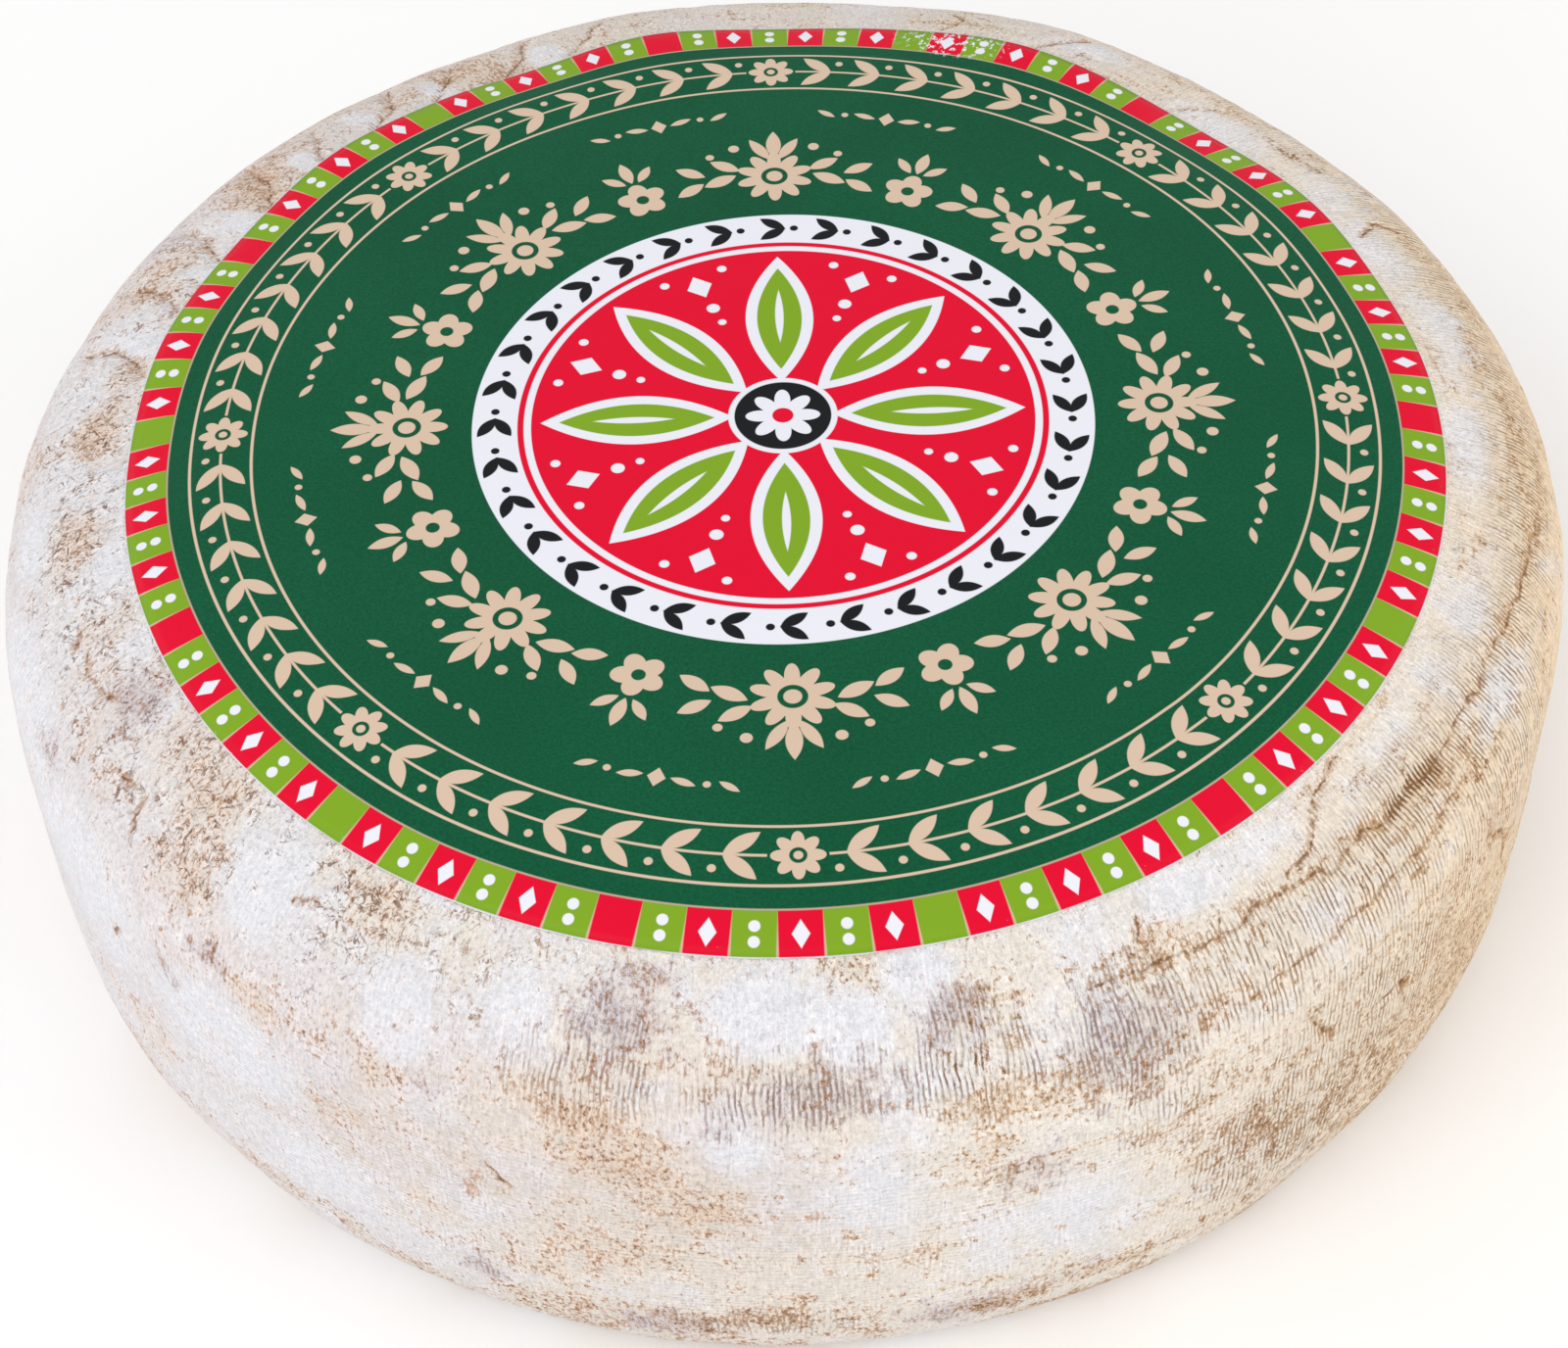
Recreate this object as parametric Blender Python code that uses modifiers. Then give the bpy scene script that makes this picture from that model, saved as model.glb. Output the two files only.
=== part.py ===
"""Cheese wheel: a pressed, cloth-moulded wheel with a dry bloomy rind and a round paper label on top.

Metres, +Z up. The origin is at the centre of the underside, on the surface that the wheel stands on.
Angles are in degrees, anticlockwise seen from above, with 0 at +X and the back of the wheel at 90.
"""
import bpy
import bmesh
import math

# Wheel body
WHEEL_R = 0.1300
WHEEL_H = 0.0885
WIDEST_H = 0.0390
TOP_FLAT_R = 0.0925
BASE_FLAT_R = 0.1150

# Rounding of the edges: the shoulder has one exponent across and one upward, the foot has one for both
SHOULDER_ACROSS = 1.26
SHOULDER_UP = 5.8
FOOT_ROUNDING = 2.8

# Label
LABEL_R = 0.1056
LABEL_X = 0.0010
LABEL_Y = -0.0038
LABEL_T = 0.0003
LABEL_GAP = 0.0003

# Resolution of the solids
WHEEL_STEPS = 120
PROFILE_STEP = 0.0045
FINE_POINTS = 240
FLAT_RINGS = (0.0, 0.032, 0.062, 0.082)
BASE_RINGS = (0.075, 0.035, 0.0)
LABEL_STEPS = 96
LABEL_RINGS = (0.0, 0.030, 0.058, 0.078, 0.089, 0.094, 0.099, 0.1025)

# Folds that the moulding cloth left around the edge of the top: angle, half width in degrees, height
FOLDS = (
    (14, 6, -0.0010),
    (27, 5, 0.0004),
    (42, 8, -0.0016),
    (64, 8, 0.0012),
    (88, 6, -0.0008),
    (102, 5, 0.0008),
    (115, 6, -0.0015),
    (138, 6, 0.0012),
    (153, 6, -0.0008),
    (168, 5, 0.0008),
    (183, 6, -0.0009),
    (199, 6, 0.0005),
    (236, 8, -0.0006),
    (290, 9, 0.0003),
)
FOLD_START_R = 0.090
FOLD_PEAK_R = 0.104
FOLD_END_R = 0.122
FOLD_KEPT = 0.15

# Broad swells and hollows of the side: angle, half width in degrees, height, half height, outward
SWELLS = (
    (63, 9, 0.077, 0.015, 0.0013),
    (107, 11, 0.077, 0.012, 0.0004),
    (163, 6, 0.073, 0.014, -0.0006),
    (182, 8, 0.067, 0.018, -0.0008),
    (195, 5, 0.060, 0.014, -0.0004),
    (214, 6, 0.016, 0.014, 0.0009),
    (250, 7, 0.007, 0.012, -0.0003),
    (280, 13, 0.007, 0.012, -0.0004),
    (312, 6, 0.011, 0.012, -0.0006),
    (340, 7, 0.046, 0.020, -0.0005),
)

# Shallow furrow where the cloth was gathered along the front right of the shoulder
FURROW_FROM = 262.0
FURROW_TO = 338.0
FURROW_END_WIDTH = 8.0
FURROW_H = 0.0770
FURROW_HALF_H = 0.0024
FURROW_DEPTH = 0.0006

# The foot stays flat and level up to this height, where the side's unevenness sets in
FOOT_LEVEL_H = 0.0008
FOOT_BLEND_H = 0.0100

# Surfaces
RIND_COLOUR = (0.80, 0.72, 0.60)
RIND_ROUGHNESS = 0.85
PAPER_COLOUR = (0.01, 0.11, 0.05)
PAPER_ROUGHNESS = 0.45


def smoothstep(low, high, value):
    """Ease from 0 at low to 1 at high."""
    t = min(max((value - low) / (high - low), 0.0), 1.0)
    return t * t * (3.0 - 2.0 * t)


def bell(offset, half_width):
    """Smooth bump of height 1 that has fallen to a half at half_width."""
    return math.exp(-math.log(2.0) * (offset / half_width) ** 2)


def turn_between(angle, other):
    """Signed difference of two angles in degrees, from -180 to 180."""
    return (angle - other + 180.0) % 360.0 - 180.0


def shoulder_point(t):
    """Point of the upper edge, from the rim of the flat top at t = 1 to the widest ring at t = 0."""
    angle = t * math.pi / 2.0
    r = TOP_FLAT_R + (WHEEL_R - TOP_FLAT_R) * math.cos(angle) ** (2.0 / SHOULDER_ACROSS)
    z = WIDEST_H + (WHEEL_H - WIDEST_H) * math.sin(angle) ** (2.0 / SHOULDER_UP)
    return r, z


def foot_point(t):
    """Point of the lower edge, from the widest ring at t = 0 to the flat underside at t = 1."""
    angle = t * math.pi / 2.0
    r = BASE_FLAT_R + (WHEEL_R - BASE_FLAT_R) * math.cos(angle) ** (2.0 / FOOT_ROUNDING)
    z = WIDEST_H - WIDEST_H * math.sin(angle) ** (2.0 / FOOT_ROUNDING)
    return r, z


def evenly_spaced(points, step):
    """Pick points at even distances along a fine outline, keeping both ends."""
    lengths = [0.0]
    for a, b in zip(points, points[1:]):
        lengths.append(lengths[-1] + math.dist(a, b))
    count = max(1, round(lengths[-1] / step))
    picked = []
    i = 0
    for k in range(count + 1):
        wanted = lengths[-1] * k / count
        while i < len(points) - 2 and lengths[i + 1] < wanted:
            i += 1
        share = (wanted - lengths[i]) / (lengths[i + 1] - lengths[i])
        a, b = points[i], points[i + 1]
        picked.append((a[0] + (b[0] - a[0]) * share, a[1] + (b[1] - a[1]) * share))
    return picked


def wheel_profile():
    """Outline of the wheel from the centre of the top, over the shoulder and down to the underside."""
    edge = [shoulder_point(1.0 - k / FINE_POINTS) for k in range(FINE_POINTS)]
    edge += [foot_point(k / FINE_POINTS) for k in range(FINE_POINTS + 1)]
    outline = [(r, WHEEL_H) for r in FLAT_RINGS]
    outline += evenly_spaced(edge, PROFILE_STEP)
    outline += [(r, 0.0) for r in BASE_RINGS]
    return outline


def label_profile():
    """Straight line from the label's centre to its rim, above the wheel."""
    return [(r, WHEEL_H + LABEL_GAP) for r in LABEL_RINGS + (LABEL_R,)]


def turned_object(name, outline, steps, collection):
    """Turn an outline around Z and apply the turn, so that the surface can be shaped further."""
    mesh = bpy.data.meshes.new(name)
    shape = bmesh.new()
    verts = [shape.verts.new((r, 0.0, z)) for r, z in outline]
    for a, b in zip(verts, verts[1:]):
        shape.edges.new((a, b))
    shape.to_mesh(mesh)
    shape.free()
    obj = bpy.data.objects.new(name, mesh)
    collection.objects.link(obj)
    turn = obj.modifiers.new("Turn", 'SCREW')
    turn.axis = 'Z'
    turn.angle = math.tau
    turn.steps = steps
    turn.render_steps = steps
    turn.use_merge_vertices = True
    turn.merge_threshold = 0.0001
    turn.use_normal_calculate = False
    bpy.ops.object.select_all(action='DESELECT')
    obj.select_set(True)
    bpy.context.view_layer.objects.active = obj
    bpy.ops.object.modifier_apply(modifier=turn.name)
    obj.data.shade_smooth()
    return obj


def fold_relief(angle, r, z):
    """Height of the cloth folds, strongest at the rim of the top and fading over the shoulder."""
    if z < WIDEST_H:
        return 0.0
    height = sum(size * bell(turn_between(angle, at), width) for at, width, size in FOLDS)
    faded = 1.0 - (1.0 - FOLD_KEPT) * smoothstep(FOLD_PEAK_R, FOLD_END_R, r)
    return height * smoothstep(FOLD_START_R, FOLD_PEAK_R, r) * faded * smoothstep(WIDEST_H, WHEEL_H, z)


def swell_relief(angle, z):
    """Broad unevenness of the side."""
    total = 0.0
    for at, width, height, half_height, size in SWELLS:
        total += size * bell(turn_between(angle, at), width) * bell(z - height, half_height)
    return total


def furrow_relief(angle, z):
    """Shallow furrow along the shoulder, running out at both ends."""
    along = smoothstep(FURROW_FROM, FURROW_FROM + FURROW_END_WIDTH, angle)
    along *= 1.0 - smoothstep(FURROW_TO - FURROW_END_WIDTH, FURROW_TO, angle)
    return -FURROW_DEPTH * along * bell(z - FURROW_H, FURROW_HALF_H)


def shape_wheel(wheel):
    """Push each point of the side along the surface's direction by the unevenness there."""
    shape = bmesh.new()
    shape.from_mesh(wheel.data)
    shape.normal_update()
    moves = []
    for vert in shape.verts:
        x, y, z = vert.co
        r = math.hypot(x, y)
        if r < FOLD_START_R or z < FOOT_LEVEL_H:
            continue
        angle = math.degrees(math.atan2(y, x)) % 360.0
        side = smoothstep(FOLD_START_R, FOLD_PEAK_R, r)
        relief = side * (swell_relief(angle, z) + furrow_relief(angle, z)) + fold_relief(angle, r, z)
        moves.append((vert, vert.normal * relief * smoothstep(FOOT_LEVEL_H, FOOT_BLEND_H, z)))
    for vert, move in moves:
        vert.co += move
    shape.to_mesh(wheel.data)
    shape.free()


def drape_label(label, wheel):
    """Lay the flat label on the top, following its edge, and give it a thickness."""
    drape = label.modifiers.new("Drape", 'SHRINKWRAP')
    drape.target = wheel
    drape.wrap_method = 'PROJECT'
    drape.use_project_z = True
    drape.use_negative_direction = True
    drape.use_positive_direction = True
    drape.wrap_mode = 'ABOVE_SURFACE'
    drape.offset = LABEL_GAP
    thickness = label.modifiers.new("Thickness", 'SOLIDIFY')
    thickness.thickness = LABEL_T
    thickness.offset = 1.0


def make_material(name, colour, roughness):
    """Plain surface of one colour."""
    material = bpy.data.materials.new(name)
    material.use_nodes = True
    shader = material.node_tree.nodes["Principled BSDF"]
    shader.inputs["Base Color"].default_value = (*colour, 1.0)
    shader.inputs["Roughness"].default_value = roughness
    shader.inputs["Metallic"].default_value = 0.0
    return material


def build():
    """Make the wheel and its label."""
    for old in list(bpy.data.objects):
        bpy.data.objects.remove(old, do_unlink=True)
    collection = bpy.data.collections.new("cheese_wheel")
    bpy.context.scene.collection.children.link(collection)

    wheel = turned_object("cheese", wheel_profile(), WHEEL_STEPS, collection)
    wheel.data.materials.append(make_material("rind", RIND_COLOUR, RIND_ROUGHNESS))
    shape_wheel(wheel)

    label = turned_object("label", label_profile(), LABEL_STEPS, collection)
    label.data.materials.append(make_material("printed_paper", PAPER_COLOUR, PAPER_ROUGHNESS))
    label.location = (LABEL_X, LABEL_Y, 0.0)
    drape_label(label, wheel)


build()
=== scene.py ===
"""Looks of a whole pressed cheese wheel: its cloth-marked rind, its printed paper label and a plain stage.

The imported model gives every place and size. Metres, +Z up, origin at the centre of the underside.
Angles are in degrees, anticlockwise seen from above, with 0 at +X and the front of the wheel at -90.
"Down" is the distance along the rind, from the rim of the flat top over the shoulder to the underside.
"""
import math
import types

import bpy
import numpy as np
from mathutils import Matrix, Vector, noise


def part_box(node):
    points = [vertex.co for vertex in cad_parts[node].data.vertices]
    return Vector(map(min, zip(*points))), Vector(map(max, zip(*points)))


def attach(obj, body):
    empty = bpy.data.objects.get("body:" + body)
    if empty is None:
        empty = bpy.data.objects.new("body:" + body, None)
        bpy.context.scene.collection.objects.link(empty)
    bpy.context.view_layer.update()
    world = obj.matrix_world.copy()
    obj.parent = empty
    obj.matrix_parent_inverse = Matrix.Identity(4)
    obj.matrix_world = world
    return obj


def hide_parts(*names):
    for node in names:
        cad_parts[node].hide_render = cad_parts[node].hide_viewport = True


bl_info = {
    "name": "Cheese Wheel",
    "version": (1, 0, 0),
    "blender": (4, 5, 0),
    "location": "View3D > Sidebar > Cheese Wheel",
    "description": "Models a cloth-pressed cheese wheel with its rind, its printed label and a plain stage",
    "category": "Object",
}

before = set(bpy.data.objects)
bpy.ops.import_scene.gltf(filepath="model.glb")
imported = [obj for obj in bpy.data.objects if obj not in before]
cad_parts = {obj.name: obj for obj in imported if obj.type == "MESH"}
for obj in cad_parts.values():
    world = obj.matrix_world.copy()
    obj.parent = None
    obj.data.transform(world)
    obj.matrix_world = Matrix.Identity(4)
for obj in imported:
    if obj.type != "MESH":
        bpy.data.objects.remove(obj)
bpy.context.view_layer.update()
WHEEL_LOW, WHEEL_HIGH = (Vector(corner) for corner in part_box("cheese"))
LABEL_LOW, LABEL_HIGH = (Vector(corner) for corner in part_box("label"))

# Height of the flat top: the folds around its rim stand a little higher
WHEEL_HEIGHT = 0.0885
WHEEL_RADIUS = (WHEEL_HIGH.x - WHEEL_LOW.x) / 2.0
LABEL_RADIUS = (LABEL_HIGH.x - LABEL_LOW.x) / 2.0
LABEL_CENTRE = ((LABEL_LOW + LABEL_HIGH) / 2.0).to_2d()

# Rind mesh: columns around the wheel, and the spacing of its rings where the rind shows
RIND_COLUMNS = 720
MERGE_DISTANCE = 0.00001
SMALL_R = 0.001
RING_STEP = 0.00095
TOP_RIM_R = 0.0925
FINE_TO_R = 0.1100
TOP_RINGS = (0.0, 0.035, 0.070, 0.090)
BASE_RINGS = (0.085, 0.040, 0.0)
SHOULDER_ROUND = 0.030
FOOT_ROUND = 0.018

# Relief of the rind, each as its height and the size of its lumps
LUMP_HEIGHT = 0.00028
LUMP_SIZE = 0.016
GRIT_HEIGHT = 0.00008
GRIT_SIZE = 0.0045
WRINKLE_HEIGHT = 0.00022
WRINKLE_SIZE = 0.0042
WRINKLE_STRETCH = 0.22
WRINKLE_LAST = 0.046
WRINKLE_KEPT = 0.25
WRINKLE_GROUP_SIZE = 0.03
SEAM_WANDER = 0.0013
SEAM_WANDER_SIZE = 0.006
SEAM_REACH = 0.004
PIT_DARKNESS = 0.9

# How fast patches, seams and pits fade from their middle, and the bare margin and foot that stay smooth
EDGE_FALL = 0.7
PRESSED_MARGIN = 0.0015
REST_HEIGHT = 0.0015

# Patches on the rind: angle, distance down, half length along the turn, half length down, strength
MOULD_PATCHES = (
    (-102, 0.0285, 0.0080, 0.0060, 1.0),
    (-101, 0.0215, 0.0060, 0.0030, 0.7),
    (-88, 0.0380, 0.0085, 0.0050, 0.9),
    (-79.6, 0.0285, 0.0055, 0.0045, 1.0),
    (-68, 0.0395, 0.0110, 0.0080, 1.0),
    (-75, 0.0595, 0.0060, 0.0055, 0.7),
    (-78.6, 0.0965, 0.0110, 0.0050, 0.9),
    (-71.7, 0.0930, 0.0080, 0.0040, 0.6),
    (-99.7, 0.0965, 0.0100, 0.0055, 0.9),
    (-112.3, 0.0895, 0.0040, 0.0035, 0.8),
    (-95.5, 0.0470, 0.0040, 0.0060, 0.4),
    (-114.5, 0.0440, 0.0030, 0.0040, 0.5),
    (-132, 0.0427, 0.0040, 0.0025, 0.8),
    (-136.8, 0.0532, 0.0030, 0.0035, 0.8),
    (-154, 0.0395, 0.0060, 0.0035, 0.6),
    (-150.3, 0.0223, 0.0070, 0.0060, 0.9),
    (-145.3, 0.0170, 0.0040, 0.0025, 0.6),
    (-58, 0.0750, 0.0080, 0.0090, 0.9),
    (-51, 0.0835, 0.0100, 0.0060, 0.8),
    (-33, 0.0375, 0.0060, 0.0030, 0.6),
    (-44.6, 0.0640, 0.0030, 0.0020, 0.8),
    (-15.3, 0.0225, 0.0020, 0.0025, 0.6),
    (35, 0.0240, 0.0060, 0.0040, 0.6),
    (58, 0.0140, 0.0040, 0.0030, 0.5),
    (152, 0.0300, 0.0080, 0.0050, 0.6),
    (96, 0.0500, 0.0100, 0.0080, 0.7),
    (8, 0.0600, 0.0100, 0.0090, 0.6),
    (130, 0.0850, 0.0120, 0.0060, 0.7),
    (60, 0.0930, 0.0160, 0.0050, 0.7),
)
OCHRE_PATCHES = (
    (-121.5, 0.0230, 0.0080, 0.0045, 0.77),
    (-136, 0.0300, 0.0060, 0.0060, 0.77),
    (-138.3, 0.0215, 0.0080, 0.0060, 0.68),
    (-127.4, 0.0450, 0.0150, 0.0040, 1.15),
    (-121.7, 0.0565, 0.0060, 0.0080, 0.80),
    (-103.8, 0.0437, 0.0060, 0.0030, 1.1),
    (-101.5, 0.0510, 0.0070, 0.0060, 1.1),
    (-98, 0.0640, 0.0100, 0.0100, 0.7),
    (-109.8, 0.0820, 0.0110, 0.0050, 1.0),
    (-103, 0.0770, 0.0100, 0.0060, 0.7),
    (-96, 0.0920, 0.0140, 0.0050, 0.7),
    (-86, 0.0200, 0.0050, 0.0025, 0.7),
    (-95, 0.0200, 0.0050, 0.0020, 0.6),
    (-77, 0.0430, 0.0140, 0.0022, 0.9),
    (-78, 0.0520, 0.0060, 0.0060, 0.6),
    (-83, 0.0760, 0.0080, 0.0050, 0.6),
    (-69.5, 0.0940, 0.0060, 0.0030, 0.9),
    (-64, 0.0620, 0.0100, 0.0100, 0.55),
    (-56, 0.0300, 0.0160, 0.0024, 0.7),
    (-41, 0.0305, 0.0130, 0.0030, 1.2),
    (-48, 0.0395, 0.0220, 0.0020, 0.8),
    (-40, 0.0495, 0.0110, 0.0022, 1.0),
    (-46, 0.0800, 0.0120, 0.0080, 0.6),
    (-36, 0.0700, 0.0120, 0.0120, 0.6),
    (-28, 0.0290, 0.0120, 0.0030, 0.7),
    (-8, 0.0330, 0.0240, 0.0040, 0.8),
    (12, 0.0290, 0.0200, 0.0050, 0.8),
    (44, 0.0240, 0.0160, 0.0060, 0.7),
    (142, 0.0200, 0.0140, 0.0080, 1.15),
    (122, 0.0200, 0.0140, 0.0070, 0.95),
    (158, 0.0190, 0.0080, 0.0070, 1.1),
    (178.2, 0.0210, 0.0090, 0.0040, 1.2),
    (-170, 0.0215, 0.0070, 0.0040, 1.0),
    (-160, 0.0230, 0.0050, 0.0040, 0.59),
    (-150, 0.0340, 0.0140, 0.0040, 0.59),
    (118, 0.0600, 0.0200, 0.0120, 0.6),
    (70, 0.0800, 0.0180, 0.0100, 0.6),
    (15, 0.0850, 0.0160, 0.0120, 0.5),
    (175, 0.0750, 0.0180, 0.0120, 0.5),
)
BLOOM_PATCHES = (
    (-92, 0.0270, 0.0080, 0.0050, 1.2),
    (-86.5, 0.0290, 0.0050, 0.0050, 1.2),
    (-81, 0.0210, 0.0060, 0.0040, 0.9),
    (-109, 0.0300, 0.0050, 0.0060, 0.8),
    (-117, 0.0360, 0.0060, 0.0070, 1.0),
    (-130, 0.0290, 0.0070, 0.0080, 0.9),
    (-94, 0.0480, 0.0050, 0.0050, 0.8),
    (-86, 0.0600, 0.0100, 0.0140, 0.7),
    (-72, 0.0730, 0.0100, 0.0120, 0.7),
    (-132, 0.0600, 0.0180, 0.0110, 1.0),
    (-148, 0.0560, 0.0200, 0.0150, 1.0),
    (-160, 0.0420, 0.0180, 0.0080, 1.0),
    (-172, 0.0330, 0.0100, 0.0050, 0.8),
    (-125, 0.0820, 0.0160, 0.0120, 0.7),
    (-61, 0.0220, 0.0080, 0.0040, 0.8),
    (-53, 0.0215, 0.0060, 0.0030, 0.7),
    (-28, 0.0345, 0.0060, 0.0025, 0.8),
    (-7, 0.0200, 0.0130, 0.0040, 0.9),
    (-38, 0.0225, 0.0100, 0.0035, 0.7),
    (-22, 0.0240, 0.0120, 0.0040, 0.7),
    (8, 0.0215, 0.0140, 0.0045, 0.8),
    (20, 0.0190, 0.0090, 0.0050, 0.9),
    (42, 0.0170, 0.0110, 0.0050, 0.9),
    (58, 0.0200, 0.0080, 0.0060, 0.8),
    (-165, 0.0170, 0.0060, 0.0030, 0.8),
    (112, 0.0150, 0.0040, 0.0060, 0.9),
    (124, 0.0150, 0.0030, 0.0070, 0.9),
    (132, 0.0170, 0.0030, 0.0070, 0.9),
    (140, 0.0150, 0.0030, 0.0070, 0.9),
    (150, 0.0160, 0.0040, 0.0080, 0.9),
    (158, 0.0160, 0.0030, 0.0060, 0.8),
    (168, 0.0170, 0.0040, 0.0060, 0.9),
    (28, 0.0160, 0.0070, 0.0060, 0.6),
    (80, 0.0240, 0.0100, 0.0060, 0.5),
    (100, 0.0800, 0.0260, 0.0180, 0.7),
    (40, 0.0620, 0.0220, 0.0160, 0.6),
)
# Where the cloth's ribs are pressed deep and dark
RIB_PATCHES = (
    (-104, 0.0380, 0.0120, 0.0080, 0.9),
    (-92, 0.0380, 0.0140, 0.0070, 1.0),
    (-79, 0.0360, 0.0110, 0.0090, 1.1),
    (-68, 0.0370, 0.0120, 0.0110, 0.9),
    (-58, 0.0370, 0.0120, 0.0090, 0.9),
    (-47, 0.0350, 0.0120, 0.0060, 1.1),
    (-40, 0.0310, 0.0100, 0.0050, 1.3),
    (-27, 0.0320, 0.0180, 0.0070, 0.9),
    (-5, 0.0300, 0.0300, 0.0060, 0.8),
    (20, 0.0280, 0.0240, 0.0080, 0.6),
    (-30, 0.0480, 0.0200, 0.0120, 0.5),
    (-50, 0.0600, 0.0240, 0.0160, 0.5),
    (-66, 0.0560, 0.0160, 0.0120, 0.5),
    (-85, 0.0750, 0.0260, 0.0180, 0.35),
    (-92, 0.0940, 0.0140, 0.0060, 0.9),
    (-110, 0.0700, 0.0200, 0.0200, 0.35),
    (-57, 0.0780, 0.0120, 0.0120, 0.9),
    (-130, 0.0450, 0.0140, 0.0060, 0.4),
    (40, 0.0500, 0.0400, 0.0200, 0.6),
    (100, 0.0450, 0.0400, 0.0160, 0.7),
    (160, 0.0500, 0.0300, 0.0180, 0.5),
)
# Brown seams: a path of (angle, distance down), its half width, depth and darkness
SEAMS = (
    (((-70, 0.0295), (-64, 0.0305), (-60, 0.0312), (-56, 0.0295), (-50, 0.0305), (-46, 0.0310)),
     0.0011, 0.0003, 0.62),
    (((-46, 0.0305), (-43, 0.0320), (-40, 0.0312), (-36, 0.0315)), 0.0015, 0.0005, 0.95),
    (((-36, 0.0305), (-30, 0.0300), (-24, 0.0305), (-17, 0.0320), (-10, 0.0330)), 0.0010, 0.0003, 0.6),
    (((-53, 0.0278), (-50.5, 0.0262), (-49, 0.0235), (-47, 0.0208), (-43.5, 0.0195)), 0.0009, 0.0004, 0.85),
    (((-65.5, 0.0265), (-64.8, 0.0232)), 0.0009, 0.0003, 0.9),
    (((-60, 0.0415), (-55, 0.0405), (-50, 0.0395), (-44, 0.0388), (-36, 0.0370)), 0.0010, 0.0002, 0.55),
    (((-87, 0.0385), (-82, 0.0425), (-78, 0.0435), (-73, 0.0420)), 0.0009, 0.0002, 0.38),
    (((-54.4, 0.0535), (-53.3, 0.0570), (-52.4, 0.0585), (-52.2, 0.0615)), 0.0008, 0.0006, 1.1),
    (((-64.8, 0.0590), (-63.5, 0.0590)), 0.0007, 0.0003, 1.0),
    (((-48.5, 0.0640), (-46.0, 0.0625), (-44.3, 0.0645), (-44.0, 0.0700)), 0.0007, 0.0003, 0.8),
    (((-34.5, 0.0520), (-31.5, 0.0580), (-30.3, 0.0620), (-29.3, 0.0690)), 0.0009, 0.0006, 1.0),
    (((-145.8, 0.0305), (-144.6, 0.0297)), 0.0008, 0.0005, 1.1),
    (((-143.2, 0.0295), (-142.8, 0.0325), (-142.3, 0.0350)), 0.0007, 0.0005, 1.0),
    (((-159.8, 0.0262), (-158.9, 0.0280)), 0.0008, 0.0005, 1.1),
    (((-157.5, 0.0255), (-154.0, 0.0262), (-151.5, 0.0250)), 0.0008, 0.0004, 0.9),
    (((-127.6, 0.0275), (-126.0, 0.0260)), 0.0007, 0.0004, 1.0),
    (((-110.5, 0.0595), (-109.0, 0.0635)), 0.0007, 0.0004, 0.85),
    (((-143.2, 0.0590), (-142.4, 0.0565)), 0.0008, 0.0003, 0.9),
    (((22, 0.0180), (24, 0.0230), (23, 0.0290)), 0.0009, 0.0004, 0.8),
    (((47, 0.0130), (45.5, 0.0200), (43, 0.0270)), 0.0010, 0.0004, 0.55),
    (((62, 0.0125), (60.5, 0.0190), (59.5, 0.0260)), 0.0011, 0.0005, 0.65),
    (((110, 0.0125), (107, 0.0200), (105, 0.0270)), 0.0012, 0.0008, 0.65),
    (((118, 0.0115), (114, 0.0190), (112.5, 0.0280)), 0.0014, 0.0010, 0.80),
    (((125, 0.0120), (121.5, 0.0200), (120, 0.0270)), 0.0012, 0.0008, 0.60),
    (((132, 0.0125), (128, 0.0190), (126, 0.0290)), 0.0015, 0.0011, 0.85),
    (((139, 0.0120), (136.5, 0.0200), (135, 0.0260)), 0.0012, 0.0008, 0.65),
    (((147, 0.0125), (143.5, 0.0190), (141.5, 0.0300)), 0.0015, 0.0010, 0.80),
    (((155, 0.0130), (152, 0.0210), (151, 0.0280)), 0.0013, 0.0009, 0.70),
    (((163, 0.0135), (160, 0.0200), (159, 0.0270)), 0.0012, 0.0008, 0.60),
    (((172, 0.0140), (168, 0.0210), (167, 0.0300)), 0.0014, 0.0010, 0.75),
    (((72.0, 0.0130), (70.5, 0.0190), (72.0, 0.0240)), 0.0008, 0.0004, 0.8),
    (((96, 0.0310), (104, 0.0300), (113, 0.0325), (121, 0.0320)), 0.0012, 0.0004, 0.8),
    (((58, 0.0400), (66, 0.0425), (76, 0.0410)), 0.0010, 0.0003, 0.6),
)
# Small pits with a brown floor: angle, distance down, half length along the turn, half length down, depth
PITS = (
    (-112.0, 0.0675, 0.0013, 0.0022, 0.0009),
    (-111.2, 0.0635, 0.0009, 0.0022, 0.0007),
    (-109.6, 0.0655, 0.0014, 0.0008, 0.0005),
    (-36.2, 0.0183, 0.0018, 0.0009, 0.0007),
    (-55.0, 0.0178, 0.0013, 0.0007, 0.0006),
    (-15.3, 0.0225, 0.0009, 0.0014, 0.0004),
    (-72.9, 0.0775, 0.0008, 0.0008, 0.0004),
    (-89.2, 0.0630, 0.0013, 0.0013, 0.0001),
    (-88.4, 0.0785, 0.0010, 0.0010, 0.0001),
    (-64.2, 0.0595, 0.0009, 0.0007, 0.0004),
    (-45.0, 0.0638, 0.0012, 0.0012, 0.0006),
    (-136.9, 0.0520, 0.0010, 0.0016, 0.0003),
    (-41.2, 0.0930, 0.0012, 0.0010, 0.0005),
    (126.0, 0.0550, 0.0014, 0.0020, 0.0006),
    (22.0, 0.0700, 0.0012, 0.0020, 0.0006),
)

# Values kept at the rind's points, which its material reads
PATCHES = {"mould": MOULD_PATCHES, "ochre": OCHRE_PATCHES, "ribs": RIB_PATCHES, "bloom": BLOOM_PATCHES}
RIND_VALUES = ("seam", "aside", *PATCHES, "warm")

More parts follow.
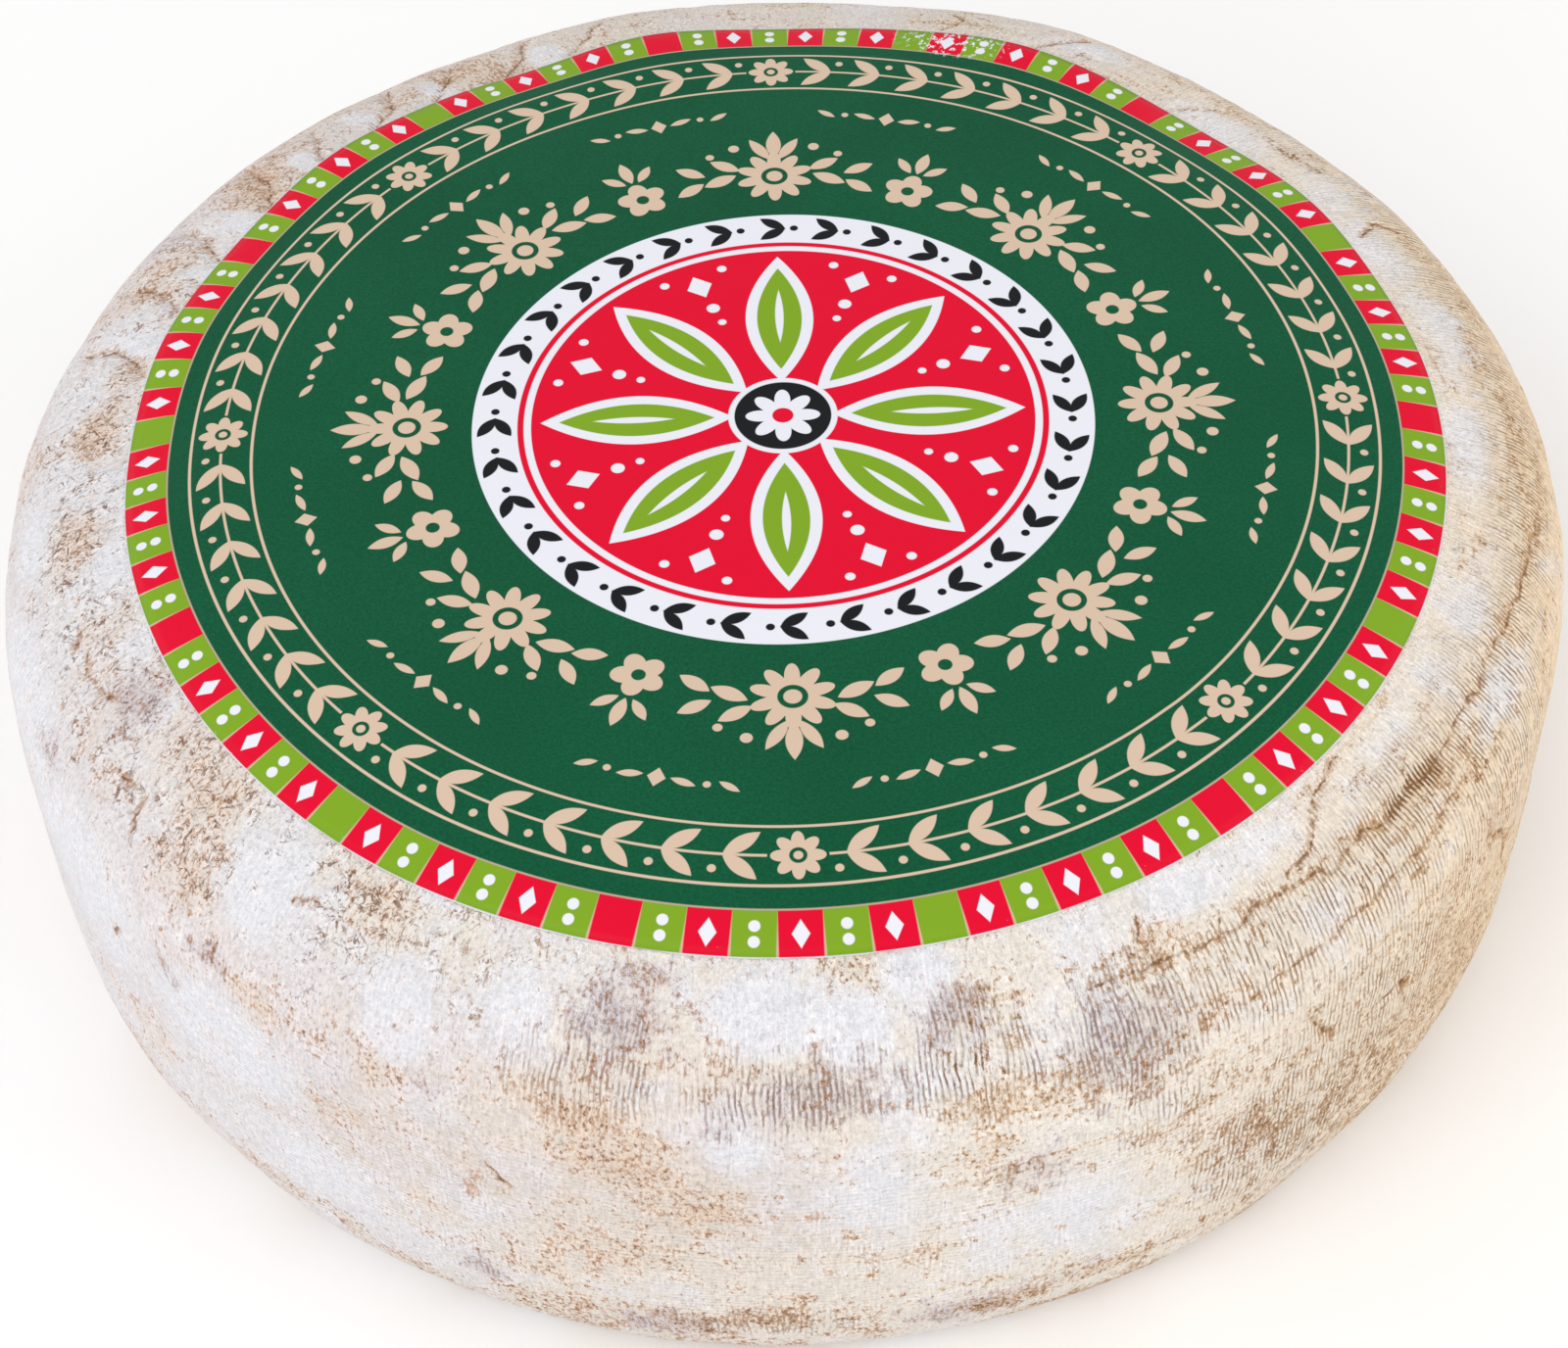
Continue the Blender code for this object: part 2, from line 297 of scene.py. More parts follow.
# Sizes of the rind's clouds, blotches, grain, dashes and streaks, and how far the ribs drift in radians
CLOUD_SIZE = 0.016
MOTTLE_SIZE = 0.0032
GRAIN_SIZE = 0.0007
DASH_SIZE = 0.0013
STREAK_SIZE = 0.0036
RIB_DRIFT = 16.0
RIB_DRIFT_SIZE = 0.009

# Hair cracks: size, how long they are drawn out, and their lean in degrees from level
CRACK_SIZE = 0.0008
CRACK_STRETCH = 3.2
CRACK_ANGLES = (18.0, 74.0, -38.0)

# Wiggle of the line along the middle of a seam
WIGGLE = 0.0032
WIGGLE_SIZE = 0.0024

# Heights of the bump for the blotches and for the cloth's ribs and crumbs
CLOUD_RELIEF = 0.0021
CLOTH_RELIEF = 0.00016

# Factors on red, green and blue: bare rind at the left, painted warm shade at the right, clean bloom,
# painted shade on the side at the left, cracks
ROSY = (0.98, 0.955, 1.0)
RIGHT_SHADE = (1.0, 0.850, 0.650)
BRIGHT = (1.0, 1.015, 1.035)
LEFT_SIDE_SHADE = (1.16, 1.03, 0.92)
DEEP = (0.6, 0.6, 0.6)

# Colour of the crumbs at the front and left
PINK_RUST = (0.62, 0.34, 0.24)

# Label mesh
LABEL_COLUMNS = 288
LABEL_RINGS = 46
LABEL_THICKNESS = 0.00014
LABEL_LIFT = 0.00012
DROP_HEIGHT = 0.01
RIM_WAVER = 0.00025
RIM_WAVER_SIZE = 0.006
RIM_WAVER_REACH = 0.004
RIM_LIFT = 0.00012
RIM_LIFT_SIZE = 0.02
RIM_LIFT_REACH = 0.006

# Printed rings of the label, as distances from its centre
BORDER_IN = 0.0989
BORDER_TILES = 98
TILES_PER_BLANK = 7
LINE_OUT = 0.0951
LINE_IN = 0.0852
LINE_WIDTH = 0.00048
GARLAND_R = 0.0901
GARLAND_UNITS = 64
GARLAND_BLOSSOMS = 8
SPRIG_R = 0.0778
SPRIGS = 12
WREATH_R = 0.0605
WREATH_UNITS = 8
DISC_R = 0.0500
DISC_LINE_OUT = 0.0427
DISC_LINE_IN = 0.0417
DISC_FIELD_R = 0.0405
DISC_PETALS = 8
PETAL_R = 0.0235
DISC_HUB_R = 0.0078
TILE_JOINT = 0.00010
PRINT_EDGE = 0.00010
PAST_RIM = 0.01

# Paper: sizes of its grain, of the ink's wash and of its waves
PAPER_GRAIN_SIZE = 0.00045
INK_WASH_SIZE = 0.030
PAPER_WAVE_SIZE = 0.012

# Scuff at the back of the label's rim
SCUFF_PLACE = (0.034, 0.093)
SCUFF_TURN = math.radians(-18)
SCUFF_SIZE = (0.011, 0.0042)

# Soft lights: name, place, width, share of the key light's power, colour
LIGHTS = (
    ("key_light", (-0.50, -0.75, 0.85), 0.8, 1.0, (1.0, 0.99, 0.98)),
    ("side_light", (-0.85, 0.25, 0.40), 0.7, 0.25, (0.97, 0.98, 1.0)),
    ("fill_light", (0.80, -0.22, 0.42), 0.8, 0.52, (1.0, 0.97, 0.93)),
)
FLOOR_WIDTH = 12.0

# Camera: height that it looks at, small turns of its view away from there, and the width of its sensor
CAMERA_TARGET_Z = 0.0886
CAMERA_ROLL = math.radians(-1.904)
CAMERA_YAW = math.radians(-0.023)
CAMERA_PITCH = math.radians(-5.028)
SENSOR_WIDTH = 36.0


class RindSettings(bpy.types.PropertyGroup):
    """Colours and marks of the rind."""

    bloom: bpy.props.FloatVectorProperty(
        name="Bloom", description="White powdery bloom", subtype='COLOR', size=3,
        default=(0.905, 0.892, 0.918), min=0.0, max=1.0)
    cream: bpy.props.FloatVectorProperty(
        name="Cream", description="Bare rind between the bloom", subtype='COLOR', size=3,
        default=(0.93, 0.865, 0.785), min=0.0, max=1.0)
    ochre: bpy.props.FloatVectorProperty(
        name="Ochre", description="Stained rind", subtype='COLOR', size=3,
        default=(0.72, 0.425, 0.20), min=0.0, max=1.0)
    brown: bpy.props.FloatVectorProperty(
        name="Brown", description="Cracks, seams and pits", subtype='COLOR', size=3,
        default=(0.24, 0.115, 0.045), min=0.0, max=1.0)
    mould: bpy.props.FloatVectorProperty(
        name="Mould", description="Grey-violet mould", subtype='COLOR', size=3,
        default=(0.57, 0.485, 0.50), min=0.0, max=1.0)
    shadow: bpy.props.FloatVectorProperty(
        name="Shadow", description="Dark between the ribs where the rind is grey", subtype='COLOR', size=3,
        default=(0.28, 0.18, 0.165), min=0.0, max=1.0)
    rib_pitch: bpy.props.FloatProperty(
        name="Rib pitch", description="Spacing of the cloth's ribs around the wheel", subtype='DISTANCE',
        default=0.0009, min=0.0004, max=0.005)
    roughness: bpy.props.FloatProperty(
        name="Roughness", description="Roughness of the dry rind", subtype='FACTOR',
        default=0.86, min=0.0, max=1.0)


class LabelSettings(bpy.types.PropertyGroup):
    """Inks and paper of the label."""

    green: bpy.props.FloatVectorProperty(
        name="Green", description="Field of the label", subtype='COLOR', size=3,
        default=(0.0015, 0.076, 0.031), min=0.0, max=1.0)
    red: bpy.props.FloatVectorProperty(
        name="Red", description="Red ink", subtype='COLOR', size=3,
        default=(0.73, 0.001, 0.027), min=0.0, max=1.0)
    lime: bpy.props.FloatVectorProperty(
        name="Lime", description="Yellow-green ink", subtype='COLOR', size=3,
        default=(0.205, 0.370, 0.017), min=0.0, max=1.0)
    tan: bpy.props.FloatVectorProperty(
        name="Tan", description="Tan ink of the ornaments", subtype='COLOR', size=3,
        default=(0.66, 0.50, 0.375), min=0.0, max=1.0)
    white: bpy.props.FloatVectorProperty(
        name="White", description="Bare paper", subtype='COLOR', size=3,
        default=(0.78, 0.79, 0.86), min=0.0, max=1.0)
    black: bpy.props.FloatVectorProperty(
        name="Black", description="Black ink", subtype='COLOR', size=3,
        default=(0.008, 0.009, 0.011), min=0.0, max=1.0)
    roughness: bpy.props.FloatProperty(
        name="Roughness", description="Roughness of the printed paper", subtype='FACTOR',
        default=0.46, min=0.0, max=1.0)


class StageSettings(bpy.types.PropertyGroup):
    """Floor, light and camera."""

    floor: bpy.props.FloatVectorProperty(
        name="Floor", description="Pale floor under the wheel", subtype='COLOR', size=3,
        default=(0.97, 0.97, 0.97), min=0.0, max=1.0)
    tent: bpy.props.FloatProperty(
        name="Tent light", description="Even light from all round", default=0.74, min=0.0, max=5.0)
    key: bpy.props.FloatProperty(
        name="Key light", description="Power of the large soft light at the front left", subtype='POWER',
        default=4.9, min=0.0, max=100.0)
    camera_elevation: bpy.props.FloatProperty(
        name="Camera elevation", description="Height of the camera above the horizon", subtype='ANGLE',
        default=math.radians(42.964), min=0.0, max=math.pi / 2.0)
    camera_distance: bpy.props.FloatProperty(
        name="Camera distance", description="From the camera to the centre of the top", subtype='DISTANCE',
        default=0.50576, min=0.1, max=5.0)
    camera_lens: bpy.props.FloatProperty(
        name="Camera lens", description="Focal length on a 36 mm wide sensor, in millimetres",
        default=71.575, min=10.0, max=300.0)


class Wiring:
    """Adds shader nodes to a material and joins them."""

    def __init__(self, material):
        material.use_nodes = True
        self.tree = material.node_tree
        self.shader = self.tree.nodes["Principled BSDF"]

    def node(self, kind, **settings):
        """Add a node of a kind with some of its settings."""
        node = self.tree.nodes.new(kind)
        for name, value in settings.items():
            setattr(node, name, value)
        return node

    def feed(self, socket, value):
        """Link a socket to another one, or set it to a value."""
        if isinstance(value, bpy.types.NodeSocket):
            self.tree.links.new(value, socket)
        else:
            socket.default_value = value

    def math(self, operation, a, b=0.0, c=0.0):
        """One sum of two or three numbers."""
        node = self.node("ShaderNodeMath", operation=operation)
        for socket, value in zip(node.inputs, (a, b, c)):
            self.feed(socket, value)
        return node.outputs[0]

    def coordinates(self):
        """Position on the object, in metres."""
        return self.node("ShaderNodeTexCoord").outputs["Object"]

    def attribute(self, name, output="Fac"):
        """A value kept at the mesh's points."""
        return self.node("ShaderNodeAttribute", attribute_name=name).outputs[output]

    def split(self, vector):
        """The three parts of a vector."""
        node = self.node("ShaderNodeSeparateXYZ")
        self.feed(node.inputs[0], vector)
        return node.outputs

    def join(self, x, y, z=0.0):
        """A vector from three parts."""
        node = self.node("ShaderNodeCombineXYZ")
        for socket, value in zip(node.inputs, (x, y, z)):
            self.feed(socket, value)
        return node.outputs[0]

    def scale(self, vector, factors):
        """A vector with each part multiplied."""
        node = self.node("ShaderNodeVectorMath", operation='MULTIPLY')
        self.feed(node.inputs[0], vector)
        self.feed(node.inputs[1], factors)
        return node.outputs[0]

    def into(self, vector, place, turn, size):
        """Coordinates of a shape that is centred at a place, turned and scaled: its edge is near 1."""
        node = self.node("ShaderNodeMapping", vector_type='TEXTURE')
        self.feed(node.inputs["Vector"], vector)
        self.feed(node.inputs["Location"], (place[0], place[1], 0.0))
        self.feed(node.inputs["Rotation"], (0.0, 0.0, turn))
        self.feed(node.inputs["Scale"], (size[0], size[1], 1.0))
        return node.outputs[0]

    def slanted(self, x, y, angle, stretch):
        """Coordinates from two distances, turned by an angle in degrees and drawn out along it."""
        turn = math.radians(angle)
        forward = self.sum((x, math.cos(turn) / stretch), (y, math.sin(turn) / stretch))
        sideways = self.sum((x, -math.sin(turn)), (y, math.cos(turn)))
        return self.join(forward, sideways, turn)

    def length(self, x, y):
        """Length of a flat vector."""
        return self.math('SQRT', self.math('ADD', self.math('MULTIPLY', x, x), self.math('MULTIPLY', y, y)))

    def noise(self, vector, size, detail=2.0, roughness=0.5, distortion=0.0):
        """Cloudy value around 0.5 with lumps of a size in metres."""
        node = self.node("ShaderNodeTexNoise")
        self.feed(node.inputs["Vector"], vector)
        self.feed(node.inputs["Scale"], 1.0 / size)
        self.feed(node.inputs["Detail"], detail)
        self.feed(node.inputs["Roughness"], roughness)
        self.feed(node.inputs["Distortion"], distortion)
        return node.outputs["Fac"]

    def ramp(self, value, low, high, bottom=0.0, top=1.0):
        """Ease from bottom to top as the value goes from low to high."""
        node = self.node("ShaderNodeMapRange", interpolation_type='SMOOTHSTEP')
        for socket, number in zip(node.inputs, (value, low, high, bottom, top)):
            self.feed(socket, number)
        return node.outputs[0]

    def blend(self, factor, under, over, mode='MIX'):
        """Lay one colour over another."""
        node = self.node("ShaderNodeMix", data_type='RGBA', blend_type=mode)
        self.feed(node.inputs[0], factor)
        for socket, colour in ((node.inputs[6], under), (node.inputs[7], over)):
            self.feed(socket, colour if isinstance(colour, bpy.types.NodeSocket) else (*colour, 1.0))
        return node.outputs[2]

    def shaded(self, colour, factor):
        """A colour made lighter or darker by a factor."""
        node = self.node("ShaderNodeVectorMath", operation='SCALE')
        self.feed(node.inputs[0], colour)
        self.feed(node.inputs["Scale"], factor)
        return node.outputs[0]

    def most(self, values):
        """The largest of several numbers."""
        values = list(values)
        result = values[0]
        for value in values[1:]:
            result = self.math('MAXIMUM', result, value)
        return result

    def product(self, *values):
        """Several numbers multiplied."""
        result = values[0]
        for value in values[1:]:
            result = self.math('MULTIPLY', result, value)
        return result

    def sum(self, *parts):
        """Several numbers added, each times its own weight."""
        result = self.math('MULTIPLY', *parts[0])
        for value, weight in parts[1:]:
            result = self.math('MULTIPLY_ADD', value, weight, result)
        return result

    def bump(self, height, distance, strength=1.0, under=None):
        """Small relief of a height, where 1 stands for a distance."""
        node = self.node("ShaderNodeBump")
        self.feed(node.inputs["Height"], height)
        self.feed(node.inputs["Distance"], distance)
        self.feed(node.inputs["Strength"], strength)
        if under is not None:
            self.feed(node.inputs["Normal"], under)
        return node.outputs[0]


def deselect_all():
    """Leave nothing selected and no object in edit mode."""
    if bpy.context.object and bpy.context.object.mode != 'OBJECT':
        bpy.ops.object.mode_set(mode='OBJECT')
    bpy.ops.object.select_all(action='DESELECT')


def only(obj):
    """Select one object and make it active."""
    deselect_all()
    obj.select_set(True)
    bpy.context.view_layer.objects.active = obj


def apply_modifier(obj, name, kind, **settings):
    """Give an object a modifier and apply it."""
    modifier = obj.modifiers.new(name, kind)
    for key, value in settings.items():
        setattr(modifier, key, value)
    only(obj)
    bpy.ops.object.modifier_apply(modifier=modifier.name)


def turned_surface(name, outline, columns):
    """Draw an outline of (radius, height) points by extruding one point, and turn it around Z."""
    deselect_all()
    start = Vector((outline[0][0], 0.0, outline[0][1]))
    bpy.ops.mesh.primitive_plane_add(size=0.001, location=start)
    obj = bpy.context.object
    obj.name = name
    bpy.ops.object.transform_apply(location=True, rotation=True, scale=True)
    bpy.ops.object.mode_set(mode='EDIT')
    bpy.ops.mesh.select_all(action='SELECT')
    bpy.ops.mesh.merge(type='CENTER')
    for (r0, z0), (r1, z1) in zip(outline, outline[1:]):
        bpy.ops.mesh.extrude_region_move(TRANSFORM_OT_translate={"value": (r1 - r0, 0.0, z1 - z0)})
    bpy.ops.object.mode_set(mode='OBJECT')
    apply_modifier(
        obj, "Turn", 'SCREW', axis='Z', angle=math.tau, steps=columns, render_steps=columns,
        use_merge_vertices=True, merge_threshold=MERGE_DISTANCE)
    bpy.ops.object.mode_set(mode='EDIT')
    bpy.ops.mesh.select_all(action='SELECT')
    bpy.ops.mesh.remove_doubles(threshold=MERGE_DISTANCE)
    bpy.ops.mesh.normals_make_consistent(inside=False)
    bpy.ops.object.mode_set(mode='OBJECT')
    return obj


def arc(centre, radius, start, end, count):
    """Points along an arc, angles in degrees."""
    points = []
    for k in range(count + 1):
        angle = math.radians(start + (end - start) * k / count)
        points.append((centre[0] + radius * math.cos(angle), centre[1] + radius * math.sin(angle)))
    return points


def straight(a, b, count):
    """Points from a to b without a itself."""
    x, z = b[0] - a[0], b[1] - a[1]
    return [(a[0] + x * k / count, a[1] + z * k / count) for k in range(1, count + 1)]


def ring_count(length):
    """How many fine rings a stretch of the rind takes."""
    return max(1, round(length / RING_STEP))


def rind_outline():
    """Outline of the rind: coarse under the label and underneath, fine where the rind shows."""
    shoulder = (WHEEL_RADIUS - SHOULDER_ROUND, WHEEL_HEIGHT - SHOULDER_ROUND)
    foot = (WHEEL_RADIUS - FOOT_ROUND, FOOT_ROUND)
    points = [(r, WHEEL_HEIGHT) for r in TOP_RINGS]
    points += arc(shoulder, SHOULDER_ROUND, 90.0, 0.0, ring_count(SHOULDER_ROUND * math.pi / 2.0))
    points += straight(points[-1], (WHEEL_RADIUS, FOOT_ROUND), ring_count(shoulder[1] - FOOT_ROUND))
    points += arc(foot, FOOT_ROUND, 0.0, -90.0, ring_count(FOOT_ROUND * math.pi / 2.0))[1:]
    points += straight(points[-1], (FINE_TO_R, 0.0), 2)
    points += [(r, 0.0) for r in BASE_RINGS]
    return points


def positions(obj):
    """The mesh's points as an array."""
    flat = np.empty(len(obj.data.vertices) * 3)
    obj.data.vertices.foreach_get("co", flat)
    return flat.reshape(-1, 3)


def set_positions(obj, points):
    """Move the mesh's points."""
    obj.data.vertices.foreach_set("co", points.ravel())
    obj.data.update()


def normals(obj):
    """The surface's direction at each point."""
    flat = np.empty(len(obj.data.vertices) * 3)
    obj.data.vertex_normals.foreach_get("vector", flat)
    return flat.reshape(-1, 3)


def distances_down(points, outline):
    """How far down the rind each point of the turned outline lies."""
    rings = np.array(outline)
    lengths = np.r_[0.0, np.cumsum(np.hypot(*np.diff(rings, axis=0).T))] - TOP_RIM_R
    radii = np.hypot(points[:, 0], points[:, 1])
    nearest = np.array([
        np.argmin(np.abs(rings[:, 0] - r) + np.abs(rings[:, 1] - z)) for r, z in zip(radii, points[:, 2])])
    return lengths[nearest]


def smooth(low, high, value):
    """Ease from 0 at low to 1 at high, for arrays."""
    t = np.clip((value - low) / (high - low), 0.0, 1.0)
    return t * t * (3.0 - 2.0 * t)


def cloudy(points, size, octaves):
    """Cloudy values from about -1 to 1 with lumps of a size."""
    return np.array([noise.fractal(Vector(p) / size, 1.0, 2.0, octaves) for p in points])


def distances_round(angles, start):
    """How far around the rim each angle is from another one, the short way, in metres."""
    return np.radians((angles - start + 180.0) % 360.0 - 180.0) * WHEEL_RADIUS


def faded(squared):
    """Soft edge, from a squared distance: 1 in the middle of a mark, a half at 1, then soon nothing."""
    return np.exp(-EDGE_FALL * squared)


def patch_values(patches, angles, down):
    """Strength of soft-edged patches at each point, the strongest where they overlap."""
    total = np.zeros(len(angles))
    for angle, place, along, across, strength in patches:
        turn = distances_round(angles, angle)
        total = np.maximum(total, strength * faded((turn / along) ** 2 + ((down - place) / across) ** 2))
    return total


def seam_values(angles, down):
    """Darkness and depth of the seams at each point, and how far beside the nearest one it lies."""
    dark = np.zeros(len(angles))
    depth = np.zeros(len(angles))
    aside = np.full(len(angles), SEAM_REACH)
    for path, width, deep, darkness in SEAMS:
        nearest = np.full(len(angles), 1.0)
        beside = np.full(len(angles), 1.0)
        first = path[0][0]
        x = distances_round(angles, first)
        corners = [(math.radians(angle - first) * WHEEL_RADIUS, place) for angle, place in path]
        for (x0, d0), (x1, d1) in zip(corners, corners[1:]):
            run = np.array((x1 - x0, d1 - d0))
            share = np.clip(((x - x0) * run[0] + (down - d0) * run[1]) / (run @ run), 0.0, 1.0)
            distance = np.hypot(x - x0 - share * run[0], down - d0 - share * run[1])
            side = np.sign((x - x0) * run[1] - (down - d0) * run[0])
            beside = np.where(distance < nearest, distance * side, beside)
            nearest = np.minimum(nearest, distance)
        line = faded((nearest / width) ** 2)
        dark = np.maximum(dark, line * darkness)
        depth = np.maximum(depth, line * deep)
        aside = np.where(nearest < np.abs(aside), beside, aside)
    return dark, depth, aside


def add_values(obj, name, values):
    """Keep a number at each of the mesh's points for the material."""
    layer = obj.data.attributes.new(name, 'FLOAT', 'POINT')
    layer.data.foreach_set("value", values.astype(np.float32))


def add_vectors(obj, name, vectors):
    """Keep a vector at each of the mesh's points for the material."""
    layer = obj.data.attributes.new(name, 'FLOAT_VECTOR', 'POINT')
    layer.data.foreach_set("vector", vectors.astype(np.float32).ravel())


def smooth_copy_of_node(name):
    """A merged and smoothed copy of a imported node, to lay new surfaces on."""
    deselect_all()
    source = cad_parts[name]
    form = bpy.data.objects.new(name + "_form", source.data.copy())
    bpy.context.scene.collection.objects.link(form)
    only(form)
    bpy.ops.object.mode_set(mode='EDIT')
    bpy.ops.mesh.select_all(action='SELECT')
    bpy.ops.mesh.remove_doubles(threshold=MERGE_DISTANCE)
    bpy.ops.mesh.tris_convert_to_quads()
    bpy.ops.object.mode_set(mode='OBJECT')
    apply_modifier(form, "Smooth", 'SUBSURF', levels=2, render_levels=2)
    return form


def shape_rind(rind, down):
    """Press the cloth's lumps, wrinkles, seams and pits into the rind, and keep values for the material."""
    points = positions(rind)
    outward = normals(rind)
    angles = np.degrees(np.arctan2(points[:, 1], points[:, 0]))
    radii = np.hypot(points[:, 0], points[:, 1])
    turned = np.c_[points[:, :2] / np.maximum(radii, SMALL_R)[:, None] * WHEEL_RADIUS, down]
    wander = cloudy(turned, SEAM_WANDER_SIZE, 2) * SEAM_WANDER
    dark, depth, aside = seam_values(angles, down + wander)
    pits = np.zeros(len(angles))
    for *patch, deep in PITS:
        hole = patch_values(((*patch, 1.0),), angles, down)
        dark = np.maximum(dark, hole * PIT_DARKNESS)
        pits = np.maximum(pits, hole * deep)

    wrinkled = smooth(WRINKLE_LAST, WRINKLE_LAST * 0.4, down) * (1.0 - WRINKLE_KEPT) + WRINKLE_KEPT
    folds = cloudy(turned * (1.0, 1.0, WRINKLE_STRETCH), WRINKLE_SIZE, 2)
    uneven = 0.5 + 0.5 * cloudy(points, WRINKLE_GROUP_SIZE, 1)
    relief = LUMP_HEIGHT * cloudy(points, LUMP_SIZE, 3)
    relief += GRIT_HEIGHT * cloudy(points + 0.5, GRIT_SIZE, 3)
    relief += WRINKLE_HEIGHT * wrinkled * (0.4 - np.abs(folds)) * uneven
    relief -= depth + pits

    from_label = np.hypot(points[:, 0] - LABEL_CENTRE.x, points[:, 1] - LABEL_CENTRE.y) - LABEL_RADIUS
    bare = np.maximum(smooth(0.0, PRESSED_MARGIN, from_label), points[:, 2] < WHEEL_HEIGHT / 2.0)
    standing = smooth(0.0, REST_HEIGHT, points[:, 2])
    moved = points + outward * ((relief - LUMP_HEIGHT) * bare * standing)[:, None]
    set_positions(rind, np.clip(moved, WHEEL_LOW, WHEEL_HIGH))

    add_vectors(rind, "cloth", turned)
    add_values(rind, "seam", dark)
    add_values(rind, "aside", aside)
    for name, patches in PATCHES.items():
        add_values(rind, name, patch_values(patches, angles, down))
    add_values(rind, "warm", np.clip(0.5 + 0.5 * points[:, 0] / WHEEL_RADIUS, 0.0, 1.0))


def tinted(colour, factors):
    """A colour with its red, green and blue each times its own factor."""
    return tuple(part * factor for part, factor in zip(colour, factors))


def rind_fields(w, settings):
    """The cloudy values and patterns that the rind's colours and relief share."""
    f = types.SimpleNamespace()
    place = w.coordinates()
    f.cloth = w.attribute("cloth", "Vector")
    across, along, f.down = w.split(f.cloth)
    f.back = w.ramp(along, 0.02, 0.10)
    for name in RIND_VALUES:
        setattr(f, name, w.attribute(name))

    f.clouds = w.noise(place, CLOUD_SIZE, 5.0, 0.62)
    mottle = w.noise(w.scale(f.cloth, (1.0, 1.0, 0.65)), MOTTLE_SIZE, 6.0, 0.74)
    f.mottle = w.math('SUBTRACT', mottle, 0.5)
    fine = w.noise(w.scale(f.cloth, (1.0, 1.0, 0.75)), GRAIN_SIZE, 3.0, 0.72)
    f.fine = w.math('SUBTRACT', fine, 0.5)
    f.dashes = w.noise(w.scale(f.cloth, (1.0, 1.0, 0.42)), DASH_SIZE, 2.0, 0.6)
    f.streaks = w.noise(w.scale(f.cloth, (0.16, 0.16, 1.0)), STREAK_SIZE, 5.0, 0.66)

    drift = w.math('MULTIPLY', w.noise(place, RIB_DRIFT_SIZE, 3.0), RIB_DRIFT)
    ribs_round = round(math.tau * WHEEL_RADIUS / settings.rib_pitch)
    turn = w.math('ARCTAN2', along, across)
    f.round = w.math('MULTIPLY', turn, WHEEL_RADIUS)
    rib_phase = w.math('MULTIPLY_ADD', turn, float(ribs_round), drift)
    f.valley = w.math('MULTIPLY_ADD', w.math('COSINE', rib_phase), -0.5, 0.5)
    thread_phase = w.math('MULTIPLY_ADD', f.down, math.tau / settings.rib_pitch, drift)
    f.gap = w.math('MULTIPLY_ADD', w.math('COSINE', thread_phase), -0.5, 0.5)
    return f


def rind_base(w, f, settings):
    """White bloom over bare rind, with ochre stains, grey-violet mould, painted warm shade at the right and
    painted shade on the side at the left.
    """
    lower_front = w.product(w.ramp(f.down, 0.034, 0.056), w.ramp(f.warm, 0.24, 0.44))
    field = w.sum((f.clouds, 1.0), (f.bloom, 0.26), (f.mottle, 0.62), (f.warm, -0.16), (f.ochre, -0.10),
                  (lower_front, -0.07))
    f.powder = w.ramp(field, 0.33, 0.57)
    bare = w.blend(w.ramp(f.warm, 0.35, 0.05), settings.cream, tinted(settings.cream, ROSY))
    # Painted warm shade: the bare rind at the right, away from the key light, is made darker and warmer,
    # most on the upright side
    right_shade = w.product(w.ramp(f.warm, 0.64, 1.01), w.ramp(f.down, 0.018, 0.034, 0.45, 1.0))
    bare = w.blend(right_shade, bare, tinted(settings.cream, RIGHT_SHADE))
    dusted = w.product(f.powder, w.ramp(f.warm, 0.55, 0.95, 1.0, 0.70), w.ramp(f.back, 0.0, 1.0, 1.0, 0.65))
    colour = w.blend(dusted, bare, settings.bloom)
    # Painted shade: the upright side at the left is darkened towards grey-violet
    side = w.product(w.ramp(f.down, 0.024, 0.040), w.ramp(f.down, 0.060, 0.085, 1.0, 0.35),
                     w.ramp(f.warm, 0.60, 0.46))
    colour = w.blend(w.product(side, 0.25), colour, tinted(settings.mould, LEFT_SIDE_SHADE))
    behind = w.product(f.back, w.ramp(f.warm, 0.90, 0.72), 0.13)
    colour = w.blend(behind, colour, w.blend(0.34, settings.ochre, settings.brown))
    f.clean = w.product(w.ramp(f.bloom, 0.25, 0.80), w.ramp(f.mottle, 0.15, -0.03),
                        w.ramp(f.warm, 0.6, 0.95, 1.0, 0.4))
    colour = w.blend(f.clean, colour, tinted(settings.bloom, BRIGHT))

    streaked = w.product(w.ramp(f.streaks, 0.46, 0.64, -0.15, 0.85), w.ramp(f.warm, 0.25, 0.80, 0.30, 0.9))
    cloudy_stain = w.ramp(f.clouds, 0.38, 0.60, 0.40, -0.10)
    f.stain = w.sum((f.ochre, 0.75), (cloudy_stain, 1.0), (f.bloom, -0.6), (f.mottle, 2.2), (streaked, 1.0))
    colour = w.blend(w.ramp(f.stain, 0.20, 1.4, 0.0, 0.30), colour, settings.ochre)

    f.grey = w.product(w.sum((f.mottle, 3.2), (f.mould, 0.9)), w.ramp(f.mould, 0.02, 0.25))
    tint = w.product(w.ramp(f.grey, 0.10, 1.00), w.ramp(f.warm, 0.68, 0.78, 0.80, 0.16))
    return w.blend(tint, colour, settings.mould)


